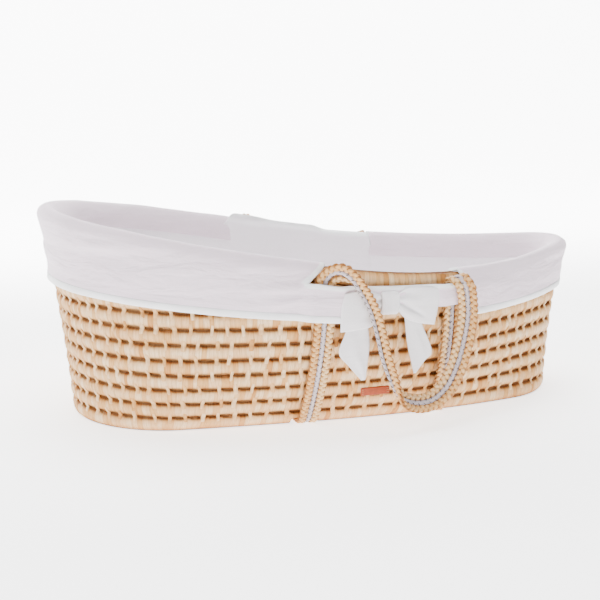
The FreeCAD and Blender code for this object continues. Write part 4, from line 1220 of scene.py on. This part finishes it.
def ribbon(edges, shares, columns):
    """A ribbon's flat points between its two edges, with the places along and across it."""
    low, high = [spline(edge, 0.8) for edge in edges]
    low, high = [read_at(line, reach_along(line), shares * reach_along(line)[-1]) for line in (low, high)]
    across = np.linspace(0, 1, columns)[None, :]
    return low[:, None] + (high - low)[:, None] * across[..., None], across


def bow_loop(side, edges, seed, crease):
    """A loop of wide ribbon: out from the knot in front and back behind."""
    turn = np.concatenate([np.linspace(0, 0.44, 34), np.linspace(0.45, 0.55, 9), np.linspace(0.56, 1, 30)])
    front = np.clip(1 - 2 * np.abs(turn - 0.5), 0, 1)
    bend = TURN_FROM + (1 - TURN_FROM) * np.cos((turn - 0.5) / TURN_HALF * np.pi / 2)
    straight = np.interp(front, (0, STRAIGHT_FROM), (0, TURN_FROM))
    reach = np.where(np.abs(turn - 0.5) < TURN_HALF, bend, straight)
    flat, across = ribbon(edges, reach, 26)
    f = reach[:, None]
    b = across - 0.5
    puff = LOOP_PUFF * np.sin(np.pi * np.clip(f, 0, 1) ** 0.75) ** 0.8 + LOOP_BELLY * ease(f, 0.3, 1.0)
    rounded = 1 - (2 * np.abs(b)) ** 3 * 0.75
    (high, number), (fine_high, fine_number) = GATHERS, FINE_GATHERS
    gathers = high * np.cos(number * np.pi * (b + 0.1 * np.sin(seed))) * (1 - ease(f, 0.1, 0.75))
    gathers = gathers + fine_high * np.cos(fine_number * np.pi * b + seed) * (1 - ease(f, 0.0, 0.4))
    crease_at = CREASE_AT - CREASE_SLANT * f
    fold = crease * np.exp(-((b - crease_at) / CREASE_WIDTH) ** 2)
    fold = fold * (1 - ease(f, 0.5, 0.85)) * ease(f, 0.02, 0.2)
    shelf = 0.9 * crease * ease(crease_at - b, 0.0, 0.2) * (1 - ease(f, 0.5, 0.95))
    near = LOOP_STAND + puff * rounded + gathers - fold + 0.3 * shelf
    far = LOOP_BACK + 0.5 * gathers
    behind = 0.5 - 0.5 * np.cos(np.pi * np.clip((turn - 0.45) / 0.1, 0, 1)[:, None])
    out = BOW_WALL + np.maximum(near, LOOP_LEAST) * (1 - behind) + np.maximum(far, 0) * behind
    points = plane_point(flat[..., 0], flat[..., 1], out, side)
    soft = 0.3 * noise(points.reshape(-1, 3), 14, seed).reshape(out.shape) * ease(f, 0.1, 0.5)
    points = plane_point(flat[..., 0], flat[..., 1] + soft, out + soft * (1 - behind), side)
    return grid_shape(points, RIBBON_TONE, close_columns=False)


def bow_tail(side, edges, seed):
    """A ribbon end that hangs from the knot with one long diagonal fold."""
    along = np.linspace(0, 1, 44)
    flat, b = ribbon(edges, along, 20)
    t = along[:, None]
    ridge = TAIL_FOLD_AT + TAIL_FOLD_RUN * t
    out = TAIL_FOLD * np.exp(-((b - ridge) / TAIL_FOLD_WIDTH) ** 2)
    out = out * ease(t, 0.05, 0.3) * (1 - 0.6 * ease(t, 0.6, 1))
    out = out + TAIL_WAVE * np.cos(6.5 * b + seed) * (1 - ease(t, 0.1, 0.6)) - TAIL_FALL * t**2 + TAIL_STAND
    points = plane_point(flat[..., 0], flat[..., 1], BOW_WALL + out, side)
    out = out + 0.35 * noise(points.reshape(-1, 3), 12, seed).reshape(out.shape)
    return grid_shape(plane_point(flat[..., 0], flat[..., 1], BOW_WALL + out, side), RIBBON_TONE,
                      close_columns=False)


def bow_knot(side):
    """The ribbon wrapped once round the middle, pinched into soft upright folds."""
    along = np.linspace(KNOT_START, KNOT_END, 30)
    turn = np.linspace(0, 2 * np.pi, 40, endpoint=False)
    t = ((along - KNOT_START) / (KNOT_END - KNOT_START))[:, None]
    edge = np.minimum(t, 1 - t)
    full = (1 - KNOT_PINCH) + KNOT_PINCH * np.clip(edge / 0.12, 0, 1) ** 0.5
    folds = KNOT_FOLD * np.cos(KNOT_FOLDS * t + 0.8 * np.sin(2 * turn)[None]) * ease(edge, 0.05, 0.2)
    upright, forward = squared(turn, KNOT_SQUARE)
    height = KNOT_LEVEL - KNOT_TILT * t + (KNOT_HALF * full + 0.3 * folds) * upright
    rise = (KNOT_DEPTH * full + folds) * forward
    return grid_shape(plane_point(along[:, None], height, BOW_WALL + KNOT_OUT + rise, side), RIBBON_TONE)


for side, side_name in SIDES:
    for part, shape, flat, held, thickness in (
            ("head_loop", bow_loop(side, HEAD_LOOP, 3, 0.4), (0.042, 0.125), "stretched", 0.8),
            ("foot_loop", bow_loop(side, FOOT_LOOP, 5, 4.0), (0.042, 0.135), "stretched", 0.8),
            ("head_tail", bow_tail(side, HEAD_TAIL, 1), (0.036, 0.09), "hung", 0.9),
            ("foot_tail", bow_tail(side, FOOT_TAIL, 2), (0.03, 0.09), "hung", 0.9),
            ("knot", bow_knot(side), (0.025, 0.068), "gathered", 0.8)):
        node = f"{side_name}_bow_{part}"
        cloth_piece(shape, f"{node}_cloth", bow_cotton, "cotton_trim", (node,),
                    thickness=thickness)


# ---- mattress ---------------------------------------------------------------------------------

MATTRESS_LOW, MATTRESS_TOP, MATTRESS_INSET, MATTRESS_EDGE = 20.6, 55.5, 32.5, 11
MATTRESS_MIDDLE, FACE_RINGS = 10, 14
FILL_PRESSURE, FILL_FRAMES, FILL_CAP, FILL_VOXEL = 4, 20, 0.003, 0.0055
PIPING_FROM_EDGE, PIPING_OUT, PIPING_WIDTH = 6, 1.6, 3.2


def mattress_start():
    """The mattress bag before it is blown up: flat faces and rounded edges."""
    phi = ring_phi(6.0)
    sides = [(MATTRESS_INSET + MATTRESS_EDGE * (1 - math.cos(a)),
              MATTRESS_LOW + MATTRESS_EDGE * (1 - math.sin(a)))
             for a in np.linspace(0, math.pi / 2, 7)]
    high = [(inset, MATTRESS_LOW + MATTRESS_TOP - z) for inset, z in reversed(sides)]
    outline = [*reversed(high), *sides]
    shares = np.linspace(0.03, 0.93, FACE_RINGS)
    rings = [(outline[0][0], MATTRESS_TOP, share) for share in shares]
    rings += [(inset, z, 1) for inset, z in outline]
    rings += [(outline[-1][0], MATTRESS_LOW, share) for share in np.linspace(0.93, 0.03, FACE_RINGS)]
    grid = []
    for inset, z, share in rings:
        x, y = wall(phi, MATTRESS_LOW, -inset)
        x = MATTRESS_MIDDLE + (x - MATTRESS_MIDDLE) * share
        grid.append(np.stack([x, y * share, np.full(len(phi), z)], 1))
    grid = np.array(grid)
    rows, columns = grid.shape[:2]
    faces = grid_faces(rows, columns, close_columns=True)
    faces.append(tuple(range(columns)))
    faces.append(tuple(reversed(range((rows - 1) * columns, rows * columns))))
    shape = Shape()
    shape.add(grid, faces, (EDGE_TONE, 0, 0))
    return shape


def places(mesh):
    """The places of a mesh's points, n x 3."""
    flat = np.empty(len(mesh.vertices) * 3)
    mesh.vertices.foreach_get("co", flat)
    return flat.reshape(-1, 3)


def blow_up(piece):
    """Fills a closed bag as cloth under pressure; no point moves further than the cap."""
    before = places(piece.data)
    cloth = piece.modifiers.new("fill", "CLOTH")
    cloth.settings.use_pressure = True
    cloth.settings.uniform_pressure_force = FILL_PRESSURE
    cloth.settings.effector_weights.gravity = 0
    cloth.settings.quality = 5
    cloth.point_cache.frame_start, cloth.point_cache.frame_end = 1, FILL_FRAMES
    scene = bpy.context.scene
    for step in range(1, FILL_FRAMES + 1):
        scene.frame_set(step)
        piece.evaluated_get(bpy.context.evaluated_depsgraph_get())
    keep_modified(piece)
    scene.frame_set(1)
    moved = places(piece.data) - before
    length = np.linalg.norm(moved, axis=1, keepdims=True)
    after = before + moved * np.minimum(1, FILL_CAP / np.maximum(length, 1e-9))
    piece.data.vertices.foreach_set("co", after.ravel())
    piece.data.update()


mattress = mattress_start().make("mattress_bag", mattress_cotton)
weld(mattress)
apply_modifier(mattress, "REMESH", mode="VOXEL", voxel_size=FILL_VOXEL, use_smooth_shade=True)
blow_up(mattress)
apply_modifier(mattress, "SUBSURF", levels=1, render_levels=1)
place_piece(mattress, "mattress", "mattress_cotton", "mattress_core", "mattress_cover")

piping = Shape()
pipe_phi = ring_phi(4.0)
pipe_phi = np.append(pipe_phi, pipe_phi[0])
pipe_x, pipe_y = wall(pipe_phi, MATTRESS_LOW, -MATTRESS_INSET - PIPING_OUT)
pipe_out = layers(np.cos(pipe_phi), np.sin(pipe_phi), 0)
for pipe_level in (MATTRESS_LOW + PIPING_FROM_EDGE, MATTRESS_TOP - PIPING_FROM_EDGE):
    tube(piping, layers(pipe_x, pipe_y, pipe_level), pipe_out, pipe_out * 0 + np.array([0, 0, 1.0]),
         PIPING_WIDTH, PIPING_WIDTH, 10)
place_piece(piping.make("mattress_piping", cord_cotton, flip=True), "mattress", "mattress_cotton")


# ---- base mat -----------------------------------------------------------------------------------

MAT_LOW, MAT_TOP, MAT_INSET, MAT_LEVEL, MAT_TURNS = 9.6, 17.2, 18.4, 13.0, 5
MAT_COIL_WIDTH, MAT_STRIP_WIDTH = ROW_PITCH - 0.6, STRIP_WIDTH * 1.6
# The innermost coil: the middle of the mat, and how much shorter and narrower it is than the fifth turn.
CORE_MIDDLE, CORE_LENGTH, CORE_WIDTH = 12, 0.912, 0.36


def mat_coil(shape, x, y, nx, ny, seed):
    """One turn of flat coil, wrapped in strips, round a closed line."""
    closed = [np.append(v, v[:1]) for v in (x, y, nx, ny)]
    reach = reach_along(np.stack(closed[:2], 1))
    length = float(reach[-1])
    share, number, part, count = strip_stations(length, MAT_STRIP_WIDTH, seed)
    chance = np.random.default_rng(seed + 3)
    tone_of = np.clip(chance.normal(*MAT_TONE, count), 0, 1)
    luck_of = chance.uniform(0, 1, count)
    turn = np.linspace(0, 2 * np.pi, 14, endpoint=False)
    flat_c, flat_s = squared(turn, 0.6)
    wide, tall = flat_c * MAT_COIL_WIDTH / 2, flat_s * (MAT_TOP - MAT_LOW) / 2
    where = np.mod(share, 1) * length
    cx, cy, px, py = (np.interp(where, reach, v)[:, None] for v in closed)
    step = 0.25 * (part - 0.5)
    rise = (MAT_LOW + MAT_TOP) / 2 + tall[None] * (0.96 + 0.08 * step[:, None])
    # Painted shade at the coil's sides, where it meets the next turn.
    groove_shade = np.clip(np.abs(wide) / (MAT_COIL_WIDTH / 2) * 1.4 - 0.9, 0, 1)
    shape.add(np.stack([cx + px * wide, cy + py * wide, rise], -1),
              grid_faces(len(share), len(turn), close_columns=True),
              layers(tone_of[number][:, None], groove_shade[None], luck_of[number][:, None]),
              layers(where[:, None] + seed * MAT_GRAIN,
                     (turn * MAT_COIL_WIDTH / 4)[None] + number[:, None] * STRIP_GRAIN))


mat = Shape()
mat_phi = ring_phi(8.0)
mat_out = (np.cos(mat_phi), np.sin(mat_phi))
for turn_number in range(MAT_TURNS):
    mat_x, mat_y = wall(mat_phi, MAT_LEVEL, -(MAT_INSET + HALF_PITCH + ROW_PITCH * turn_number))
    mat_coil(mat, mat_x, mat_y, *mat_out, 300 + turn_number)
mat_coil(mat, CORE_MIDDLE + (mat_x - CORE_MIDDLE) * CORE_LENGTH, mat_y * CORE_WIDTH, *mat_out, 306)
place_piece(mat.make("base_mat_coiled", palm_coil, flip=True), "basket", "palm_coil", "base_mat")


# ---- leather tag --------------------------------------------------------------------------------

TAG_X, TAG_LOW, TAG_LENGTH, TAG_HEIGHT, TAG_DEPTH, TAG_OUT = 30, 45, 43, 11, 1.5, 0.6
TAG_CORNER, TAG_MARGIN = 2.2, 3.0
# The leather's edge from back to front: depth, and how far it is drawn in.
TAG_LAYERS = ((0.0, 0.35), (0.5, 0.0), (1.05, 0.05), (TAG_DEPTH, 0.5))
TAG_STITCH_RISES, TAG_STITCH_HALF, TAG_STITCH_STAND, TAG_THREAD = (-0.26, 0.0, 0.26), 1.7, 0.35, 0.8
UP = np.array([0, 0, 1.0])


def tag_frame():
    """Middle of the tag on the wall, and its directions along and out."""
    level = ROW_PITCH * 2.5
    ahead, behind = side_y(TAG_X + 1, level), side_y(TAG_X - 1, level)
    along = unit(np.array([2.0, -(ahead - behind), 0]))
    out = np.array([along[1], -along[0], 0])
    middle = np.array([TAG_X, -side_y(TAG_X, level), TAG_LOW + TAG_HEIGHT / 2]) + out * TAG_OUT
    return middle, along, out


def tag_leather_shape():
    """A rounded strip of leather that bends a little with the coil, its edges rounded over."""
    middle, along, out = tag_frame()
    across, up = np.linspace(-1, 1, 61), np.linspace(-1, 1, 17)
    grid = []
    for depth, inset in TAG_LAYERS:
        u = across[:, None] * (TAG_LENGTH / 2 - inset) + 0 * up[None]
        v = up[None] * (TAG_HEIGHT / 2 - inset) + 0 * across[:, None]
        past_u = np.maximum(np.abs(u) - (TAG_LENGTH / 2 - inset - TAG_CORNER), 0)
        past_v = np.maximum(np.abs(v) - (TAG_HEIGHT / 2 - inset - TAG_CORNER), 0)
        far = np.hypot(past_u, past_v)
        pull = np.where(far > TAG_CORNER, TAG_CORNER / np.maximum(far, 1e-6), 1)
        u = u - np.sign(u) * past_u * (1 - pull)
        v = v - np.sign(v) * past_v * (1 - pull)
        wave = 0.25 * np.cos(u / 9 + 1) - 0.4 * (v / TAG_HEIGHT) ** 2
        grid.append(middle + u[..., None] * along + v[..., None] * UP + (depth + wave)[..., None] * out)
    shape = Shape()
    size_u, size_v = len(across), len(up)
    shape.add(grid[0], [tuple(reversed(face)) for face in grid_faces(size_u, size_v)])
    shape.add(grid[-1], grid_faces(size_u, size_v))
    rim_order = [(i, 0) for i in range(size_u)] + [(size_u - 1, j) for j in range(1, size_v)]
    rim_order += [(i, size_v - 1) for i in reversed(range(size_u - 1))]
    rim_order += [(0, j) for j in reversed(range(1, size_v - 1))]
    bands = np.array([[layer[i, j] for i, j in rim_order] for layer in grid])
    shape.add(bands, grid_faces(len(grid), len(rim_order), close_columns=True))
    return shape


def tag_thread_shape():
    """Short stitches near both ends of the tag."""
    middle, along, out = tag_frame()
    shape = Shape()
    t = np.linspace(-1, 1, 7)[:, None]
    for end in (-1, 1):
        for rise in TAG_STITCH_RISES:
            place = middle + along * end * (TAG_LENGTH / 2 - TAG_MARGIN) + np.array([0, 0, TAG_HEIGHT * rise])
            line = place + along * t * TAG_STITCH_HALF + out * (TAG_DEPTH + TAG_STITCH_STAND - 0.9 * t**2)
            tube(shape, line, UP + 0 * line, out + 0 * line, TAG_THREAD, TAG_THREAD, 8)
    return shape


piece = tag_leather_shape().make("tag_leather_sewn", tag_leather)
weld(piece)
place_piece(piece, "basket", "tag_leather", "leather_tag")
place_piece(tag_thread_shape().make("tag_thread_sewn", tag_thread, flip=True), "basket", "tag_thread",
            "tag_stitches")


# ---- floor, lights and camera -------------------------------------------------------------------

SWEEP_FRONT, SWEEP_BACK, SWEEP_TOP, SWEEP_RADIUS, SWEEP_HALF_WIDTH = -3.0, 3.2, 3.0, 1.2, 4
SWEEP_STEPS, SWEEP_COLUMNS = 16, 9
# The paper gives off light, more behind the basket than in front of it, so that it is white there.
PAPER_GLOW = {"From Min": 0.5, "From Max": 1.6, "To Min": 2.6, "To Max": 7.5}
LIGHTS = (("key_light", (-2.2, -1.7, 2.5), 1.0, 62, (0, 0, 0.1)),
          ("fill_light", (2.3, -1.9, 1.7), 2.2, 6, (0, 0, 0.1)),
          ("top_light", (0.0, 0.3, 3.0), 2.4, 150, (0, 0, 0)))
WORLD_STRENGTH = 0.25
CAMERA_PLACE, CAMERA_YAW, CAMERA_FALL = (-0.53706, -1.79947, 0.51298), 0.282, 0.2016
CAMERA_LENS, CAMERA_SENSOR, CAMERA_SHIFT = 77.1, 36, (-0.0070, 0.0147)


def sweep():
    """A white sheet of studio paper that curves up behind the basket."""
    profile = [(SWEEP_FRONT, 0.0), (SWEEP_BACK - SWEEP_RADIUS, 0.0)]
    for a in np.linspace(0, math.pi / 2, SWEEP_STEPS + 1)[1:]:
        profile.append((SWEEP_BACK - SWEEP_RADIUS + SWEEP_RADIUS * math.sin(a),
                        SWEEP_RADIUS - SWEEP_RADIUS * math.cos(a)))
    profile.append((SWEEP_BACK, SWEEP_TOP))
    width = np.linspace(-SWEEP_HALF_WIDTH, SWEEP_HALF_WIDTH, SWEEP_COLUMNS)
    mesh = bpy.data.meshes.new("studio_sweep")
    mesh.from_pydata([(x, y, z) for y, z in profile for x in width], [],
                     grid_faces(len(profile), SWEEP_COLUMNS))
    smooth_shaded(mesh)
    paper = Material("studio_paper")
    behind = paper.add("SeparateXYZ", "Y", {0: paper.place()})
    glow = paper.add("MapRange", 0, {"Value": behind, **PAPER_GLOW}, interpolation_type="SMOOTHSTEP")
    mesh.materials.append(paper.finish({"Base Color": (0.93, 0.935, 0.94, 1), "Roughness": 0.9,
                                        "Emission Color": (1, 1, 1, 1), "Emission Strength": glow}))
    linked("studio_sweep", mesh)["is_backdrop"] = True


def point_at(obj, place, direction):
    obj.location = place
    obj.rotation_euler = direction.to_track_quat("-Z", "Y").to_euler()


def lights():
    """Three soft lights and an even, weak light from all round."""
    for name, place, size, power, target in LIGHTS:
        light = bpy.data.lights.new(name, "AREA")
        light.shape, light.size, light.energy = "DISK", size, power
        point_at(linked(name, light), place, Vector(target) - Vector(place))
    world = bpy.context.scene.world or bpy.data.worlds.new("studio")
    bpy.context.scene.world = world
    world.use_nodes = True
    background = world.node_tree.nodes["Background"]
    background.inputs[0].default_value = (1, 1, 1, 1)
    background.inputs[1].default_value = WORLD_STRENGTH


def camera():
    data = bpy.data.cameras.new("camera")
    data.lens, data.sensor_width = CAMERA_LENS, CAMERA_SENSOR
    data.shift_x, data.shift_y = CAMERA_SHIFT
    obj = linked("camera", data)
    level = math.cos(CAMERA_FALL)
    look = Vector((math.sin(CAMERA_YAW) * level, math.cos(CAMERA_YAW) * level, -math.sin(CAMERA_FALL)))
    point_at(obj, CAMERA_PLACE, look)
    bpy.context.scene.camera = obj


sweep()
lights()
camera()

low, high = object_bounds()
